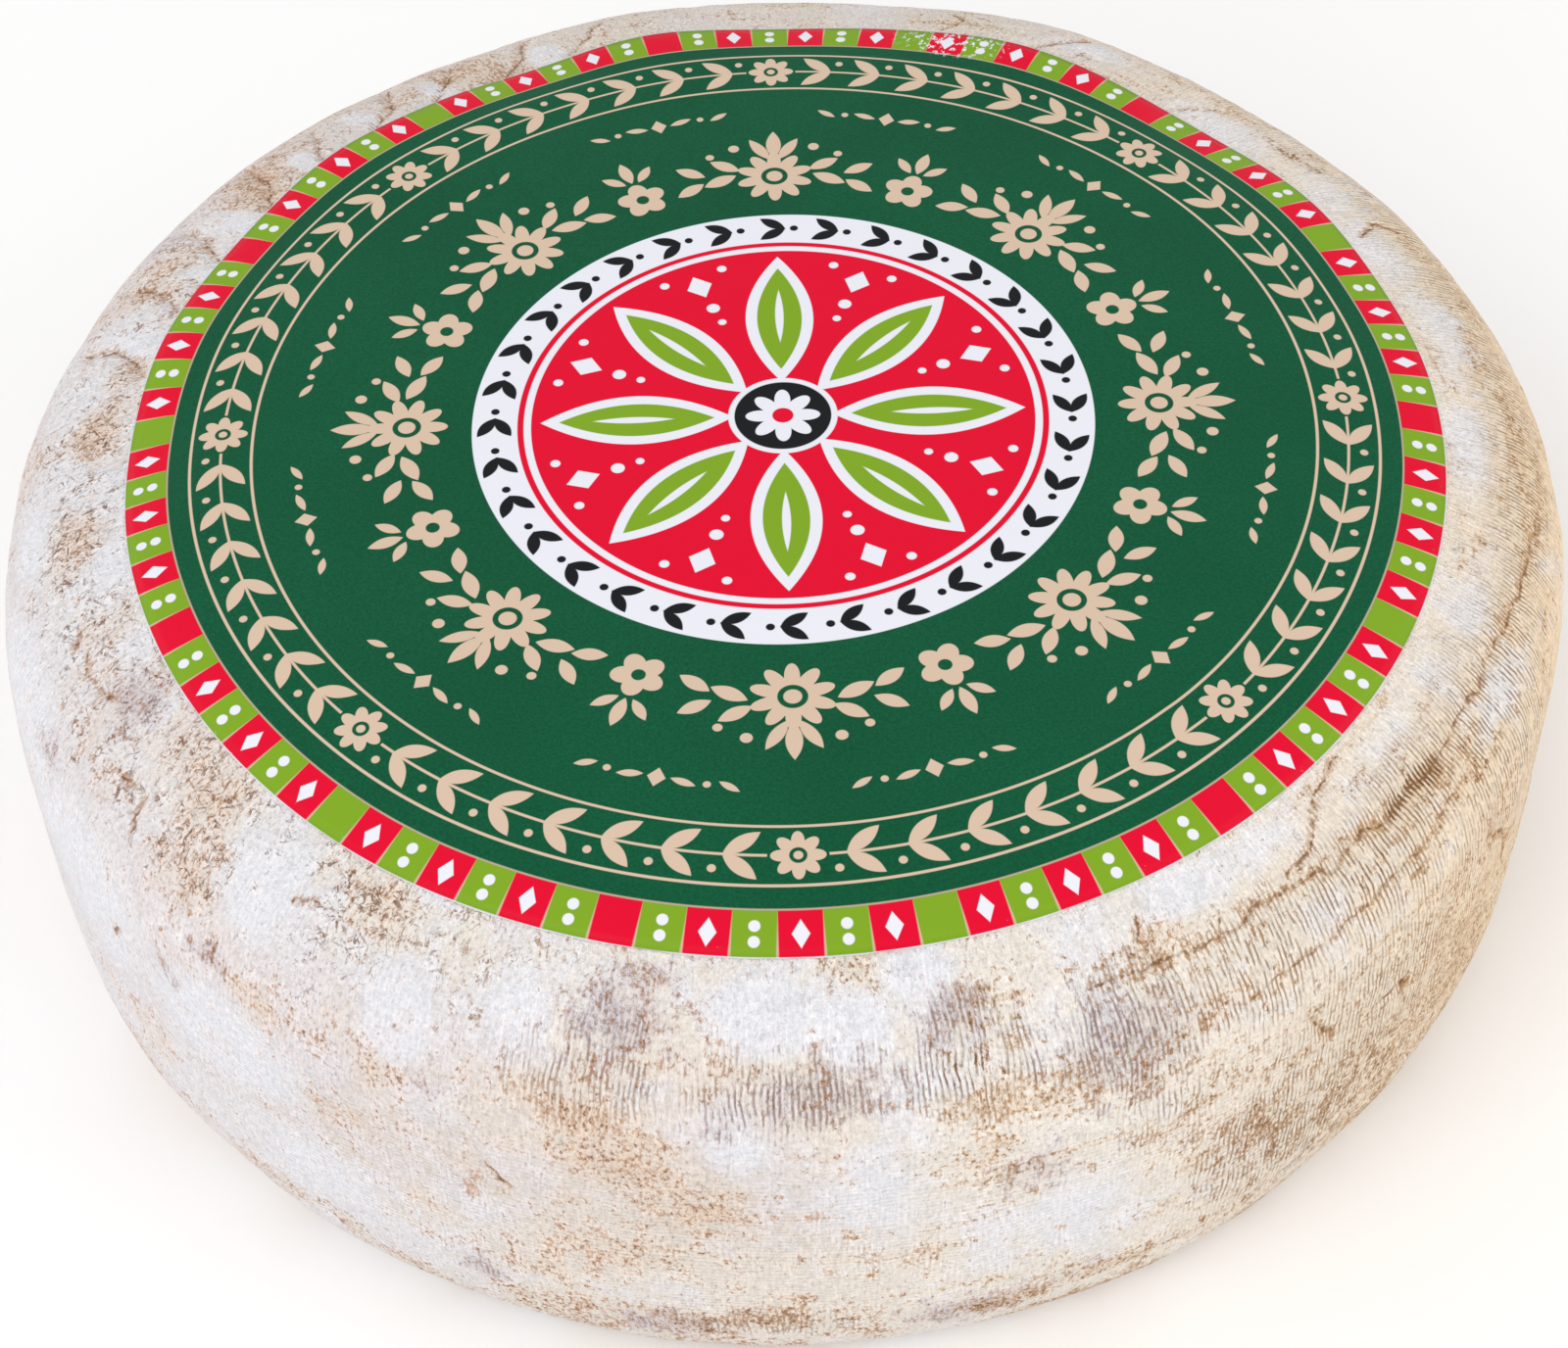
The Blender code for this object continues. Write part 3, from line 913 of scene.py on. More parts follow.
def cloth_marks(w, f, settings, colour, dark):
    """Ribs and cross threads of the cloth: pale crests, partly bloom and partly painted highlight; dark
    hollows, partly brown stain and partly painted shade; and dark speckle in the mould.
    """
    f.marked = w.ramp(w.sum((f.mottle, 2.0), (f.ribs, 0.95), (f.grey, 0.4),
                            (w.ramp(f.warm, 0.58, 0.90), 0.42)), 0.0, 1.15, 0.05, 0.78)
    # Pale rib crests: partly bloom on the ribs, partly painted highlight where the raised crests catch the
    # light
    crest_bloom_and_highlight = w.product(w.ramp(f.valley, 0.45, 0.05), f.marked, 0.55)
    colour = w.blend(crest_bloom_and_highlight, colour, w.blend(f.powder, settings.cream, settings.bloom))
    # Dark rib hollows: brown stain where the rind is stained, painted shade where it is grey
    rib_stain_and_shade = w.product(w.ramp(f.valley, 0.50, 0.88), w.ramp(f.dashes, 0.40, 0.54, 0.06, 1.0), f.marked,
                         w.ramp(f.down, 0.016, 0.033, 0.22, 1.0))
    colour = w.blend(rib_stain_and_shade, colour, dark)
    # Dark speckle in the grey-violet mould, from the fine grain
    mould_specks = w.product(
        w.ramp(f.fine, 0.0, 0.08), w.ramp(f.grey, 0.25, 0.9), w.ramp(f.warm, 0.78, 0.66), 0.62)
    colour = w.blend(mould_specks, colour, settings.shadow)
    low = w.ramp(f.down, 0.045, 0.065, 0.03, 0.20)
    # Gaps between the cross threads, low on the rind: brown stain and painted shade
    weave_stain_and_shade = w.product(w.ramp(f.gap, 0.55, 1.0), w.ramp(f.dashes, 0.62, 0.44), low)
    return w.blend(weave_stain_and_shade, colour, dark)


def crumb_marks(w, f, settings, colour, rust):
    """Rusty and brown crumbs, crowded where the rind is stained or mouldy, at the right and at the foot."""
    foot = w.product(w.ramp(f.down, 0.080, 0.099, 0.0, 0.075), w.ramp(f.clouds, 0.56, 0.44, 0.3, 1.0))
    toasted = w.ramp(f.warm, 0.60, 0.95, 0.0, 0.015)
    lowered = w.product(w.ramp(f.warm, 0.66, 0.86), w.ramp(f.down, 0.022, 0.064, -0.075, 0.034))
    crowd = w.sum(
        (f.mottle, 0.36), (w.ramp(f.stain, -0.25, 1.25, -0.06, 0.125), 1.0), (toasted, 1.0),
        (f.grey, 0.03), (f.clean, -0.14), (lowered, 1.0))
    mouldy = w.product(f.grey, w.ramp(f.warm, 0.70, 0.78, 0.0, 0.10))
    crumbs = w.sum((f.fine, 1.0), (w.math('MINIMUM', crowd, 0.084), 1.0), (mouldy, 1.0), (foot, 1.0))
    colour = w.blend(w.ramp(crumbs, 0.090, 0.130, 0.0, 0.68), colour, rust)
    return w.blend(w.ramp(crumbs, 0.180, 0.230, 0.0, 0.82), colour, settings.brown)


def crack_marks(w, f, settings, colour, rust):
    """Short hair cracks in a few directions, over the shoulder, the left side and the foot at the right."""
    upper = w.ramp(f.down, 0.052, 0.028, -0.30, 0.30)
    low_right = w.product(w.ramp(f.warm, 0.64, 0.82), w.ramp(f.down, 0.052, 0.080))
    dry = w.sum(
        (f.mottle, 2.6), (f.stain, 0.28), (upper, 1.0), (f.clean, -0.8), (f.ribs, -0.5), (low_right, 1.3))
    sides = w.math('MAXIMUM', w.ramp(f.warm, 0.60, 0.30, 0.40, 1.0), w.product(low_right, 0.9))
    cracked = w.product(w.ramp(dry, -0.1, 0.7), sides)
    lines = []
    for angle in CRACK_ANGLES:
        flat = w.slanted(f.round, f.down, angle, CRACK_STRETCH)
        lines.append(w.ramp(w.noise(flat, CRACK_SIZE, 2.0, 0.6, 0.7), 0.615, 0.66))
    f.crack = w.product(w.most(lines), cracked)
    deep = w.blend(0.5, settings.brown, tinted(settings.shadow, DEEP))
    pale = w.math('MAXIMUM', w.product(f.back, 0.7), w.ramp(f.warm, 0.22, 0.40, 0.0, 0.55))
    return w.blend(w.product(f.crack, 0.86), colour, w.blend(pale, deep, rust))


def seam_marks(w, f, settings, colour, rust):
    """Brown seams: a rusty halo, a broken line along the middle, and dark rib hollows near them and where
    the cloth was bunched, brown stain with painted shade.
    """
    halo = w.sum((f.seam, 0.9), (f.mottle, 2.4), (f.fine, 1.8), (w.ramp(f.valley, 0.2, 0.9), 0.34))
    halo = w.product(halo, w.ramp(f.seam, 0.05, 0.40))
    colour = w.blend(w.ramp(halo, 0.36, 0.95, 0.0, 0.60), colour, rust)
    wiggle = w.math('SUBTRACT', w.noise(f.cloth, WIGGLE_SIZE, 4.0, 0.65), 0.5)
    aside = w.math('ABSOLUTE', w.sum((wiggle, WIGGLE), (f.aside, 1.0)))
    broken = w.product(w.ramp(f.dashes, 0.36, 0.50, 0.10, 1.0), w.ramp(f.mottle, -0.12, 0.06, 0.35, 1.0))
    line = w.product(w.ramp(aside, 0.00045, 0.00012), w.ramp(f.seam, 0.25, 0.60), broken)
    near_seam = w.ramp(w.sum((f.seam, 1.0), (f.mottle, 1.6)), 0.28, 0.70)
    # Dark rib hollows near the seams and where the cloth was bunched: brown stain with painted shade
    seam_rib_stain_and_shade = w.product(w.ramp(f.valley, 0.30, 0.80), near_seam, w.ramp(f.ribs, 0.72, 0.95))
    gathered_stain_and_shade = w.ramp(w.sum((f.seam, 0.55), (f.mottle, 3.0), (f.fine, 2.0), (f.dashes, 1.6)), 0.98, 1.20)
    gathered_stain_and_shade = w.product(gathered_stain_and_shade, w.ramp(f.ribs, 0.85, 1.1), w.ramp(f.valley, 0.50, 0.80, 0.0, 1.0))
    f.line = w.most((line, seam_rib_stain_and_shade, gathered_stain_and_shade))
    return w.blend(w.product(f.line, 0.94), colour, settings.brown)


def rind_marks(w, f, settings, colour):
    """The cloth's marks, crumbs, cracks and seams on the rind's colour."""
    rust = w.blend(0.30, settings.ochre, settings.brown)
    rust = w.blend(w.ramp(f.warm, 0.62, 0.46, 0.0, 0.5), rust, PINK_RUST)
    rusty = w.sum((f.stain, 1.0), (f.grey, -1.0), (w.ramp(f.warm, 0.62, 0.82), 1.0))
    # Colour of the cloth's hollows: painted shade where the rind is grey, brown stain where it is stained
    # or at the right
    dark = w.blend(w.ramp(rusty, -0.1, 0.5), settings.shadow, settings.brown)
    colour = cloth_marks(w, f, settings, colour, dark)
    colour = crumb_marks(w, f, settings, colour, rust)
    colour = crack_marks(w, f, settings, colour, rust)
    return seam_marks(w, f, settings, colour, rust)


def rind_material(settings):
    """Dry rind: bloom, stains and mould, the cloth's marks, crumbs and cracks, painted light and shade on
    the ribs and the fine grain, and their relief.
    """
    material = bpy.data.materials.new("bloomy_rind")
    w = Wiring(material)
    f = rind_fields(w, settings)
    colour = rind_marks(w, f, settings, rind_base(w, f, settings))
    # Fine grain of tone, with painted shade in the dents of the fine relief and painted light on its raised
    # blotches
    grain = w.product(w.ramp(f.fine, -0.25, 0.25, 1.12, 0.86), w.ramp(f.mottle, -0.25, 0.25, 0.93, 1.06))
    w.feed(w.shader.inputs["Base Color"], w.shaded(colour, grain))

    ribs = w.product(f.valley, w.ramp(f.marked, 0.06, 0.5, 0.35, 1.0))
    height = w.sum((ribs, -0.8), (f.gap, -0.25), (f.fine, -1.4), (f.crack, -1.0), (f.line, -0.8))
    relief = w.bump(w.math('ADD', f.mottle, f.clouds), CLOUD_RELIEF, 0.8)
    w.feed(w.shader.inputs["Normal"], w.bump(height, CLOTH_RELIEF, 0.9, relief))
    rough = w.ramp(f.powder, 0.0, 1.0, settings.roughness - 0.08, settings.roughness)
    w.feed(w.shader.inputs["Roughness"], rough)
    w.shader.inputs["Specular IOR Level"].default_value = 0.2
    return material


class CHEESE_OT_rind(bpy.types.Operator):
    """Model the rind of the wheel over its packed form"""

    bl_idname = "cheese.rind"
    bl_label = "Rind"

    def execute(self, context):
        """Spin the outline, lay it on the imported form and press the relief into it."""
        form = smooth_copy_of_node("cheese")
        outline = rind_outline()
        rind = turned_surface("wheel_rind", outline, RIND_COLUMNS)
        down = distances_down(positions(rind), outline)
        apply_modifier(rind, "Lay", 'SHRINKWRAP', target=form, wrap_method='NEAREST_SURFACEPOINT')
        shape_rind(rind, down)
        rind.data.shade_smooth()
        rind.data.materials.append(rind_material(context.scene.cheese_rind))
        bpy.data.objects.remove(form, do_unlink=True)
        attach(rind, "root")
        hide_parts("cheese")
        return {'FINISHED'}


class LabelPrint:
    """Shapes of the label's print, as masks from 0 to 1 drawn around its centre."""

    def __init__(self, wiring):
        self.w = wiring
        self.flat = wiring.into(wiring.coordinates(), LABEL_CENTRE, 0.0, (1.0, 1.0))
        x, y, _ = wiring.split(self.flat)
        self.r = wiring.length(x, y)
        self.turn = wiring.math('ARCTAN2', y, x)

    def repeat(self, count, shift=0.0):
        """Fold the disc into equal sectors. Gives coordinates that run outward and sideways in each."""
        w = self.w
        turns = w.math('MULTIPLY_ADD', self.turn, count / math.tau, shift)
        number = w.math('FLOOR', w.math('ADD', turns, 0.5))
        local = w.math('MULTIPLY', w.math('SUBTRACT', turns, number), math.tau / count)
        outward = w.math('MULTIPLY', self.r, w.math('COSINE', local))
        sideways = w.math('MULTIPLY', self.r, w.math('SINE', local))
        return outward, sideways, number

    def mirrored(self, count, shift=0.0):
        """Coordinates in equal sectors, in which a shape at one side also shows at the other."""
        outward, sideways, _ = self.repeat(count, shift)
        return self.w.join(outward, self.w.math('ABSOLUTE', sideways))

    def edge(self, inside, softness):
        """Clean printed edge from a value that is positive inside the shape."""
        return self.w.ramp(inside, -softness, softness)

    def band(self, inner, outer):
        """A ring between two distances from the centre."""
        w = self.w
        half = (outer - inner) / 2.0
        offset = w.math('ABSOLUTE', w.math('SUBTRACT', self.r, inner + half))
        return self.edge(w.math('SUBTRACT', half, offset), PRINT_EDGE)

    def disc(self, radius):
        """Everything within a distance from the centre."""
        return self.edge(self.w.math('SUBTRACT', radius, self.r), PRINT_EDGE)

    def leaf(self, flat, place, turn, length, width):
        """A pointed leaf."""
        w = self.w
        x, y, _ = w.split(w.into(flat, place, turn, (length / 2.0, width / 2.0)))
        half_width = w.math('SUBTRACT', 1.0, w.math('MULTIPLY', x, x))
        inside = w.math('SUBTRACT', half_width, w.math('ABSOLUTE', y))
        return self.edge(inside, PRINT_EDGE * 2.0 / width)

    def lozenge(self, flat, place, length, width):
        """A diamond."""
        w = self.w
        x, y, _ = w.split(w.into(flat, place, 0.0, (length / 2.0, width / 2.0)))
        half_width = w.math('SUBTRACT', 1.0, w.math('ABSOLUTE', x))
        inside = w.math('SUBTRACT', half_width, w.math('ABSOLUTE', y))
        return self.edge(inside, PRINT_EDGE * 2.0 / width)

    def dot(self, flat, place, radius):
        """A round spot."""
        return self.blossom(flat, place, 0, radius, 0.0)

    def blossom(self, flat, place, petals, radius, depth):
        """A flower whose petals are waves of its edge."""
        w = self.w
        x, y, _ = w.split(w.into(flat, place, 0.0, (radius, radius)))
        limit = 1.0
        if petals:
            turn = w.math('MULTIPLY', w.math('ARCTAN2', y, x), petals / 2.0)
            wave = w.math('ABSOLUTE', w.math('COSINE', turn))
            limit = w.math('MULTIPLY_ADD', wave, depth, 1.0 - depth)
        return self.edge(w.math('SUBTRACT', limit, w.length(x, y)), PRINT_EDGE / radius)


def without(w, mask, hole):
    """A mask with another one cut out."""
    return w.math('MULTIPLY', mask, w.math('SUBTRACT', 1.0, hole))


def print_border(p, colour, ink):
    """Ring of red and lime tiles with small white marks, along the label's rim."""
    w = p.w
    outward, sideways, number = p.repeat(BORDER_TILES, 0.5)
    counted = w.math('ADD', number, BORDER_TILES)
    is_lime = w.math('GREATER_THAN', w.math('MODULO', counted, 2.0), 0.5)
    tile = w.blend(is_lime, ink.red, ink.lime)
    middle = (BORDER_IN + LABEL_RADIUS) / 2.0
    diamond = p.lozenge(w.join(outward, sideways), (middle, 0.0), 0.0042, 0.0026)
    both_sides = w.join(w.math('ABSOLUTE', w.math('SUBTRACT', outward, middle)), sideways)
    two_dots = p.dot(both_sides, (0.00115, 0.0), 0.00085)
    mark = w.math('ADD', w.math('MULTIPLY', two_dots, is_lime), without(w, diamond, is_lime))
    blank = w.math('LESS_THAN', w.math('MODULO', counted, TILES_PER_BLANK), 0.5)
    tile = w.blend(without(w, mark, blank), tile, ink.white)
    half_tile = math.pi * middle / BORDER_TILES
    joint = p.edge(w.math('SUBTRACT', w.math('ABSOLUTE', sideways), half_tile - TILE_JOINT), PRINT_EDGE)
    tile = w.blend(w.math('MULTIPLY', joint, 0.75), tile, ink.tan)
    colour = w.blend(p.band(BORDER_IN, LABEL_RADIUS + PAST_RIM), colour, tile)
    colour = w.blend(w.math('MULTIPLY', p.band(BORDER_IN - 0.00028, BORDER_IN), 0.7), colour, ink.tan)
    return w.blend(p.band(LABEL_RADIUS - 0.00012, LABEL_RADIUS + PAST_RIM), colour, ink.white)


def garland_mask(p):
    """Two thin lines with a running garland of leaves and blossoms between them."""
    w = p.w
    outward, sideways, number = p.repeat(GARLAND_UNITS)
    flat = w.join(outward, sideways)
    place = w.math('MODULO', w.math('ADD', number, GARLAND_UNITS), GARLAND_UNITS / GARLAND_BLOSSOMS)
    bloom_here = w.math('LESS_THAN', place, 0.5)
    outer_leaf = p.leaf(flat, (GARLAND_R + 0.0019, 0.0006), math.radians(52), 0.0066, 0.0024)
    inner_leaf = p.leaf(flat, (GARLAND_R - 0.0019, 0.0006), math.radians(128), 0.0066, 0.0024)
    stem = p.band(GARLAND_R - 0.00022, GARLAND_R + 0.00022)
    berry = p.dot(flat, (GARLAND_R + 0.0024, -0.0033), 0.00065)
    leaves = w.most((outer_leaf, inner_leaf, stem, berry))
    centre = (GARLAND_R, 0.0)
    flower = without(w, p.blossom(flat, centre, 8, 0.0040, 0.36), p.dot(flat, centre, 0.0013))
    flower = w.math('MAXIMUM', flower, p.dot(flat, centre, 0.0007))
    pattern = w.math('ADD', without(w, leaves, bloom_here), w.math('MULTIPLY', flower, bloom_here))
    lines = (p.band(at - LINE_WIDTH / 2.0, at + LINE_WIDTH / 2.0) for at in (LINE_IN, LINE_OUT))
    return w.most((pattern, *lines))


def sprig_mask(p):
    """Ring of small sprigs between the wreath and the garland."""
    flat = p.mirrored(SPRIGS, 0.5)
    return p.w.most((
        p.lozenge(flat, (SPRIG_R, 0.0), 0.0036, 0.0028),
        p.leaf(flat, (SPRIG_R + 0.0001, 0.0040), math.radians(80), 0.0040, 0.0013),
        p.dot(flat, (SPRIG_R - 0.0002, 0.0075), 0.00060),
        p.leaf(flat, (SPRIG_R - 0.0005, 0.0108), math.radians(70), 0.0036, 0.0012),
    ))


def wreath_mask(p):
    """Wreath of daisies, leaf sprays, buds and small flowers around the middle."""
    w = p.w
    flat = p.mirrored(WREATH_UNITS)
    centre = (WREATH_R, 0.0)
    daisy = without(w, p.blossom(flat, centre, 10, 0.0066, 0.42), p.dot(flat, centre, 0.0023))
    daisy = w.math('MAXIMUM', daisy, p.dot(flat, centre, 0.0014))
    sprays = [
        p.leaf(flat, (WREATH_R - 0.0010, 0.0094), math.radians(118), 0.0062, 0.0026),
        p.leaf(flat, (WREATH_R + 0.0030, 0.0086), math.radians(62), 0.0058, 0.0024),
        p.leaf(flat, (WREATH_R - 0.0033, 0.0145), math.radians(128), 0.0056, 0.0024),
        p.leaf(flat, (WREATH_R + 0.0014, 0.0146), math.radians(66), 0.0056, 0.0023),
        p.leaf(flat, (WREATH_R + 0.0086, 0.0), 0.0, 0.0074, 0.0026),
        p.leaf(flat, (WREATH_R + 0.0074, 0.0025), math.radians(32), 0.0066, 0.0021),
        p.dot(flat, (WREATH_R + 0.0078, 0.0070), 0.00095),
        p.dot(flat, (WREATH_R + 0.0056, 0.0112), 0.00075),
    ]
    between = p.mirrored(WREATH_UNITS, 0.5)
    knot = (WREATH_R - 0.0008, 0.0)
    small = without(w, p.blossom(between, knot, 5, 0.0043, 0.34), p.dot(between, knot, 0.0011))
    tips = [
        p.leaf(between, (WREATH_R + 0.0070, 0.0), 0.0, 0.0058, 0.0022),
        p.leaf(between, (WREATH_R + 0.0056, 0.0028), math.radians(46), 0.0046, 0.0018),
    ]
    return w.most([daisy, small] + sprays + tips)


def print_disc(p, colour, ink):
    """Round emblem in the middle: a red field with lime petals, and a white ring with a black garland."""
    w = p.w
    colour = w.blend(p.disc(DISC_R), colour, ink.white)
    colour = w.blend(p.band(DISC_LINE_IN, DISC_LINE_OUT), colour, ink.red)
    ring_r = (DISC_R + DISC_LINE_OUT) / 2.0
    outward, sideways, _ = p.repeat(DISC_PETALS * 4)
    flat = w.join(outward, sideways)
    vine = w.most((
        p.leaf(flat, (ring_r + 0.0013, 0.0006), math.radians(56), 0.0052, 0.0021),
        p.leaf(flat, (ring_r - 0.0013, 0.0006), math.radians(124), 0.0052, 0.0021),
        p.dot(flat, (ring_r, -0.0030), 0.00070),
    ))
    colour = w.blend(vine, colour, ink.black)
    colour = w.blend(p.disc(DISC_FIELD_R), colour, ink.red)
    petal = p.mirrored(DISC_PETALS)
    colour = w.blend(p.leaf(petal, (PETAL_R, 0.0), 0.0, 0.0310, 0.0112), colour, ink.white)
    colour = w.blend(p.leaf(petal, (PETAL_R, 0.0), 0.0, 0.0250, 0.0074), colour, ink.lime)
    colour = w.blend(p.leaf(petal, (PETAL_R + 0.0005, 0.0), 0.0, 0.0130, 0.0014), colour, ink.white)
    between = p.mirrored(DISC_PETALS, 0.5)
    colour = w.blend(w.most((
        p.lozenge(between, (0.0345, 0.0), 0.0056, 0.0044),
        p.dot(between, (0.0286, 0.0), 0.0011),
        p.dot(between, (0.0372, 0.0052), 0.0008),
        p.dot(between, (0.0248, 0.0), 0.0007),
    )), colour, ink.white)
    colour = w.blend(p.disc(DISC_HUB_R + 0.0010), colour, ink.white)
    colour = w.blend(p.disc(DISC_HUB_R), colour, ink.black)
    colour = w.blend(p.blossom(p.flat, (0.0, 0.0), 8, 0.0060, 0.45), colour, ink.white)
    return w.blend(p.disc(0.0017), colour, ink.red)


def label_wear(p, place):
    """Worn paper: a scuff at the back of the rim, and a few chips along the whole rim."""
    w = p.w
    x, y, _ = w.split(w.into(place, SCUFF_PLACE, SCUFF_TURN, SCUFF_SIZE))
    near = w.ramp(w.math('ADD', w.math('MULTIPLY', x, x), w.math('MULTIPLY', y, y)), 1.3, 0.2)
    scuff = w.math('MULTIPLY', near, w.ramp(w.noise(place, 0.0011, 3.0, 0.7), 0.56, 0.60))
    at_rim = w.ramp(p.r, LABEL_RADIUS - 0.0022, LABEL_RADIUS)
    chips = w.math('MULTIPLY', at_rim, w.ramp(w.noise(place, 0.0016, 3.0, 0.7), 0.70, 0.74))
    return w.math('MAXIMUM', scuff, w.math('MULTIPLY', chips, 0.5))


def label_material(ink):
    """Printed satin paper: inks with a fine grain, scuffs at the back rim and a slightly wavy surface."""
    material = bpy.data.materials.new("printed_paper")
    w = Wiring(material)
    place = w.coordinates()
    p = LabelPrint(w)
    grain = w.noise(place, PAPER_GRAIN_SIZE, 2.0, 0.6)
    wash = w.noise(place, INK_WASH_SIZE, 3.0, 0.5)

    thin_ink = tuple(part * 1.35 + 0.003 for part in ink.green)
    field = w.blend(w.ramp(grain, 0.30, 0.72), ink.green, thin_ink)
    field = w.blend(w.ramp(wash, 0.35, 0.70, 0.0, 0.25), field, tinted(ink.green, (0.75, 0.75, 0.75)))
    ornament = w.most((garland_mask(p), sprig_mask(p), wreath_mask(p)))
    colour = w.blend(ornament, field, ink.tan)
    colour = print_disc(p, colour, ink)
    colour = print_border(p, colour, ink)
    wear = label_wear(p, place)
    w.feed(w.shader.inputs["Base Color"], w.blend(wear, colour, ink.white))

    rough = w.ramp(grain, 0.2, 0.8, ink.roughness - 0.05, ink.roughness + 0.06)
    w.feed(w.shader.inputs["Roughness"], w.math('MAXIMUM', rough, w.math('MULTIPLY', wear, 0.8)))
    relief = w.bump(w.noise(place, PAPER_WAVE_SIZE, 2.0), 0.0006, 0.5)
    w.feed(w.shader.inputs["Normal"], w.bump(grain, 0.00003, 0.8, relief))
    w.shader.inputs["Specular IOR Level"].default_value = 0.10
    return material


def label_outline():
    """Straight line from the label's centre to its rim, above the wheel, its points closer near the rim."""
    height = WHEEL_HEIGHT + DROP_HEIGHT
    return [(LABEL_RADIUS * (k / LABEL_RINGS) ** 0.75, height) for k in range(LABEL_RINGS + 1)]


class CHEESE_OT_label(bpy.types.Operator):
    """Lay the printed paper label on the rind"""

    bl_idname = "cheese.label"
    bl_label = "Label"

    def execute(self, context):
        """Spin a disc, drape it on the rind and give it the thickness of paper."""
        label = turned_surface("paper_label", label_outline(), LABEL_COLUMNS)
        points = positions(label)
        radii = np.hypot(points[:, 0], points[:, 1])
        at_rim = smooth(LABEL_RADIUS - RIM_WAVER_REACH, LABEL_RADIUS, radii)
        waver = cloudy(points, RIM_WAVER_SIZE, 2) * RIM_WAVER * at_rim
        points[:, :2] *= (1.0 - np.abs(waver) / np.maximum(radii, SMALL_R))[:, None]
        points[:, :2] += LABEL_CENTRE
        set_positions(label, points)
        apply_modifier(
            label, "Drape", 'SHRINKWRAP', target=bpy.data.objects["wheel_rind"], wrap_method='PROJECT',
            use_project_z=True, use_negative_direction=True, use_positive_direction=True,
            wrap_mode='ABOVE_SURFACE', offset=LABEL_LIFT)
        points = positions(label)
        at_rim = smooth(LABEL_RADIUS - RIM_LIFT_REACH, LABEL_RADIUS, radii)
        points[:, 2] += at_rim * (0.5 + 0.5 * cloudy(points, RIM_LIFT_SIZE, 1)) * RIM_LIFT
        set_positions(label, points)
        apply_modifier(label, "Paper", 'SOLIDIFY', thickness=LABEL_THICKNESS, offset=1.0)
        label.data.shade_smooth()
        label.data.materials.append(label_material(context.scene.cheese_label))
        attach(label, "root")
        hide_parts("label")
        return {'FINISHED'}


def area_light(name, place, target, width, power, colour):
    """A large soft light that looks at a point."""
    deselect_all()
    bpy.ops.object.light_add(type='AREA', location=place)
    lamp = bpy.context.object
    lamp.name = name
    lamp.rotation_euler = (Vector(target) - Vector(place)).to_track_quat('-Z', 'Y').to_euler()
    lamp.data.shape = 'SQUARE'
    lamp.data.size = width
    lamp.data.energy = power
    lamp.data.color = colour


def camera_matrix(elevation, distance):
    """Place and view of the camera in front of the wheel, turned slightly in yaw, then pitch, then roll."""
    target = Vector((0.0, 0.0, CAMERA_TARGET_Z))
    ahead = Vector((0.0, math.cos(elevation), -math.sin(elevation)))
    right = Vector((1.0, 0.0, 0.0))
    up = Vector((0.0, math.sin(elevation), math.cos(elevation)))
    place = target - ahead * distance
    ahead, right = (ahead * math.cos(CAMERA_YAW) + right * math.sin(CAMERA_YAW),
                    right * math.cos(CAMERA_YAW) - ahead * math.sin(CAMERA_YAW))
    ahead, up = (ahead * math.cos(CAMERA_PITCH) + up * math.sin(CAMERA_PITCH),
                 up * math.cos(CAMERA_PITCH) - ahead * math.sin(CAMERA_PITCH))
    right, up = (right * math.cos(CAMERA_ROLL) + up * math.sin(CAMERA_ROLL),
                 up * math.cos(CAMERA_ROLL) - right * math.sin(CAMERA_ROLL))
    view = Matrix((right, up, -ahead)).transposed().to_4x4()
    view.translation = place
    return view


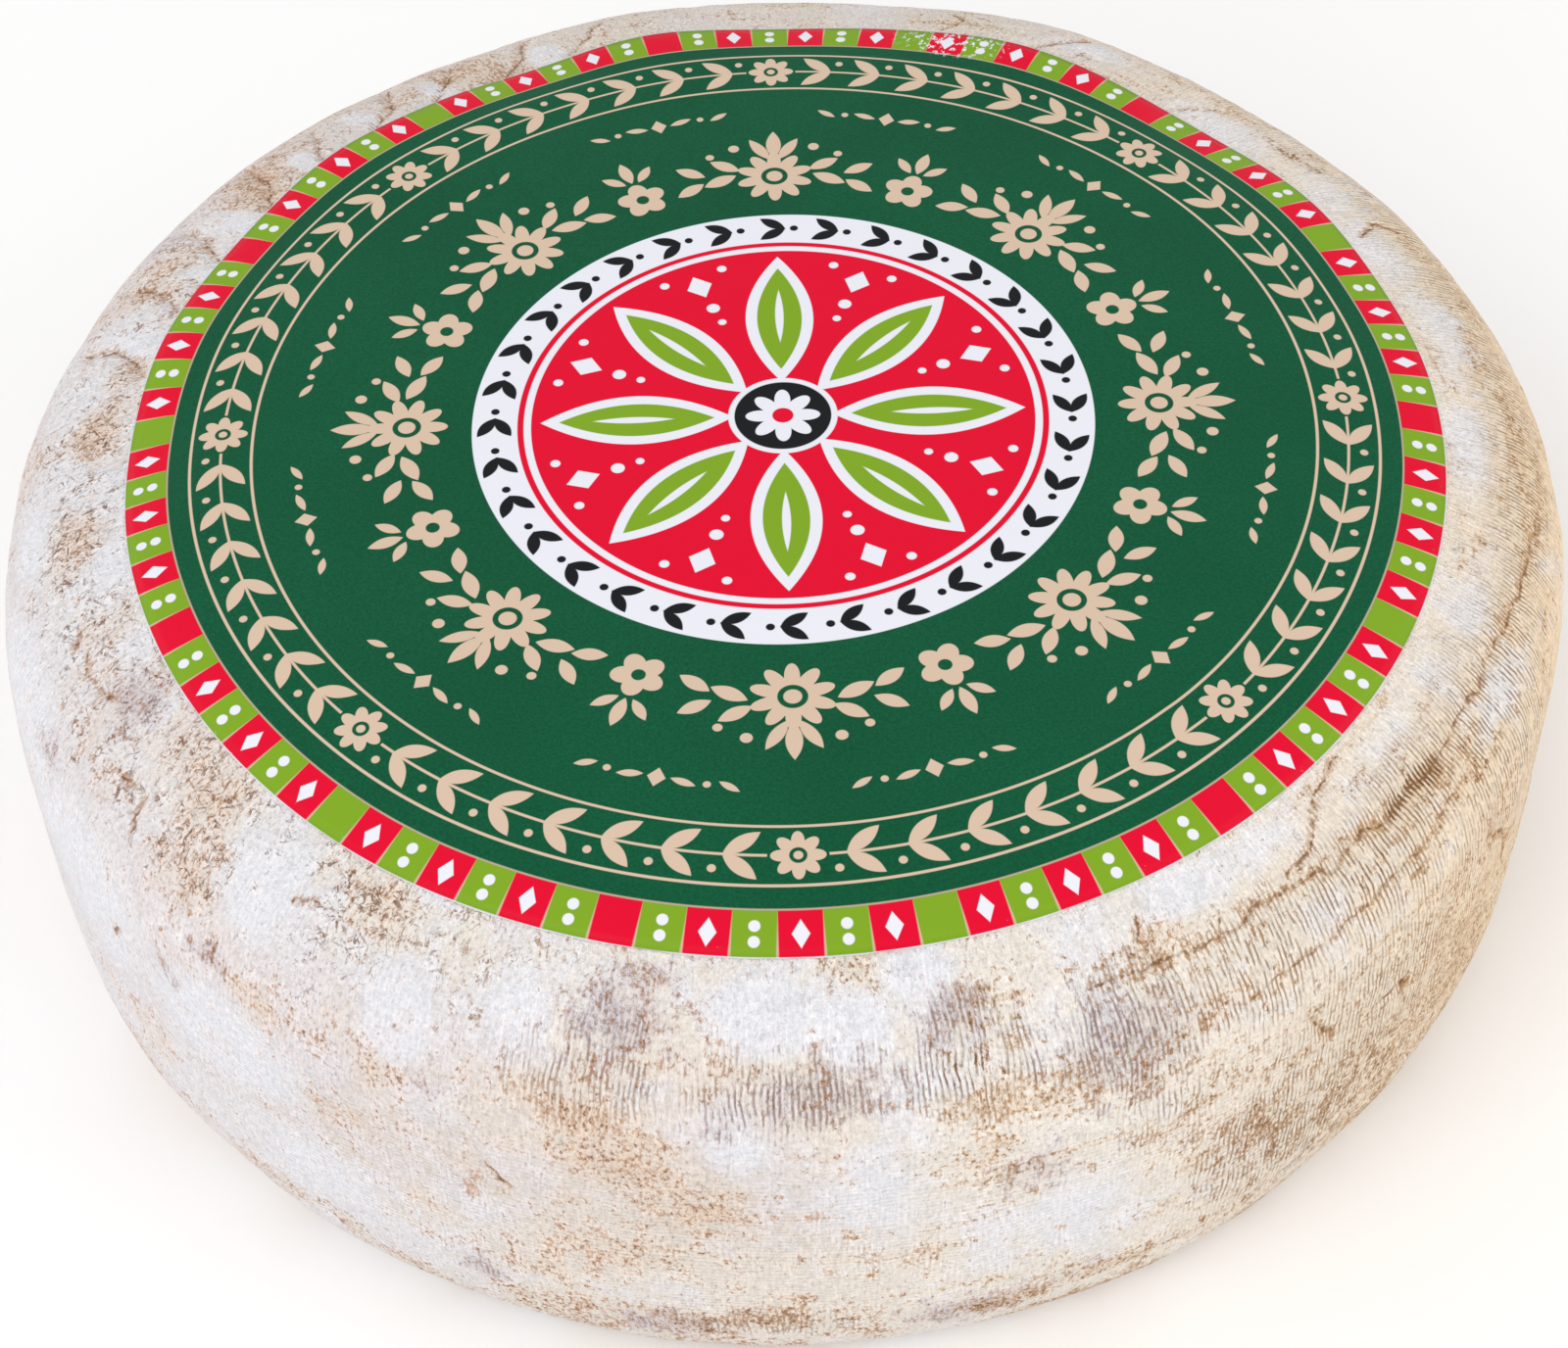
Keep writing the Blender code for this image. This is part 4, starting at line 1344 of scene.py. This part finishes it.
class CHEESE_OT_stage(bpy.types.Operator):
    """Make the pale floor, the soft lights and the camera"""

    bl_idname = "cheese.stage"
    bl_label = "Stage"

    def execute(self, context):
        """Lay the floor, light the wheel evenly and set the camera."""
        stage = context.scene.cheese_stage
        deselect_all()
        bpy.ops.mesh.primitive_plane_add(size=FLOOR_WIDTH, location=(0.0, 0.0, 0.0))
        floor = context.object
        floor.name = "floor"
        bpy.ops.object.transform_apply(location=True, rotation=True, scale=True)
        material = bpy.data.materials.new("pale_floor")
        material.use_nodes = True
        shader = material.node_tree.nodes["Principled BSDF"]
        shader.inputs["Base Color"].default_value = (*stage.floor, 1.0)
        shader.inputs["Roughness"].default_value = 0.9
        shader.inputs["Specular IOR Level"].default_value = 0.1
        floor.data.materials.append(material)

        world = bpy.data.worlds.new("light_tent")
        world.use_nodes = True
        tent = world.node_tree.nodes["Background"]
        tent.inputs["Color"].default_value = (1.0, 1.0, 1.0, 1.0)
        tent.inputs["Strength"].default_value = stage.tent
        context.scene.world = world
        middle = (0.0, 0.0, WHEEL_HEIGHT / 2.0)
        for name, place, width, share, colour in LIGHTS:
            area_light(name, place, middle, width, stage.key * share, colour)

        deselect_all()
        bpy.ops.object.camera_add()
        camera = context.object
        camera.name = "camera"
        camera.matrix_world = camera_matrix(stage.camera_elevation, stage.camera_distance)
        camera.data.sensor_width = SENSOR_WIDTH
        camera.data.lens = stage.camera_lens
        context.scene.camera = camera
        context.scene.view_settings.view_transform = 'Standard'
        return {'FINISHED'}


class CHEESE_PT_wheel(bpy.types.Panel):
    """Steps that make the cheese wheel"""

    bl_idname = "CHEESE_PT_wheel"
    bl_label = "Cheese Wheel"
    bl_space_type = 'VIEW_3D'
    bl_region_type = 'UI'
    bl_category = "Cheese Wheel"

    def draw(self, context):
        """List each step with its settings."""
        layout = self.layout
        for operator, settings in (
                (CHEESE_OT_rind, context.scene.cheese_rind),
                (CHEESE_OT_label, context.scene.cheese_label),
                (CHEESE_OT_stage, context.scene.cheese_stage)):
            box = layout.box()
            box.operator(operator.bl_idname)
            for name in settings.bl_rna.properties.keys():
                if name not in ("rna_type", "name"):
                    box.prop(settings, name)


CLASSES = (
    RindSettings, LabelSettings, StageSettings,
    CHEESE_OT_rind, CHEESE_OT_label, CHEESE_OT_stage, CHEESE_PT_wheel)


def register():
    """Register the classes and hang the settings on the scene."""
    for cls in CLASSES:
        bpy.utils.register_class(cls)
    bpy.types.Scene.cheese_rind = bpy.props.PointerProperty(type=RindSettings)
    bpy.types.Scene.cheese_label = bpy.props.PointerProperty(type=LabelSettings)
    bpy.types.Scene.cheese_stage = bpy.props.PointerProperty(type=StageSettings)


def unregister():
    """Take the settings and the classes away again."""
    del bpy.types.Scene.cheese_rind
    del bpy.types.Scene.cheese_label
    del bpy.types.Scene.cheese_stage
    for cls in reversed(CLASSES):
        bpy.utils.unregister_class(cls)


def main():
    """Make the wheel."""
    register()
    bpy.ops.cheese.stage()
    bpy.ops.cheese.rind()
    bpy.ops.cheese.label()


if __name__ == "__main__":
    main()
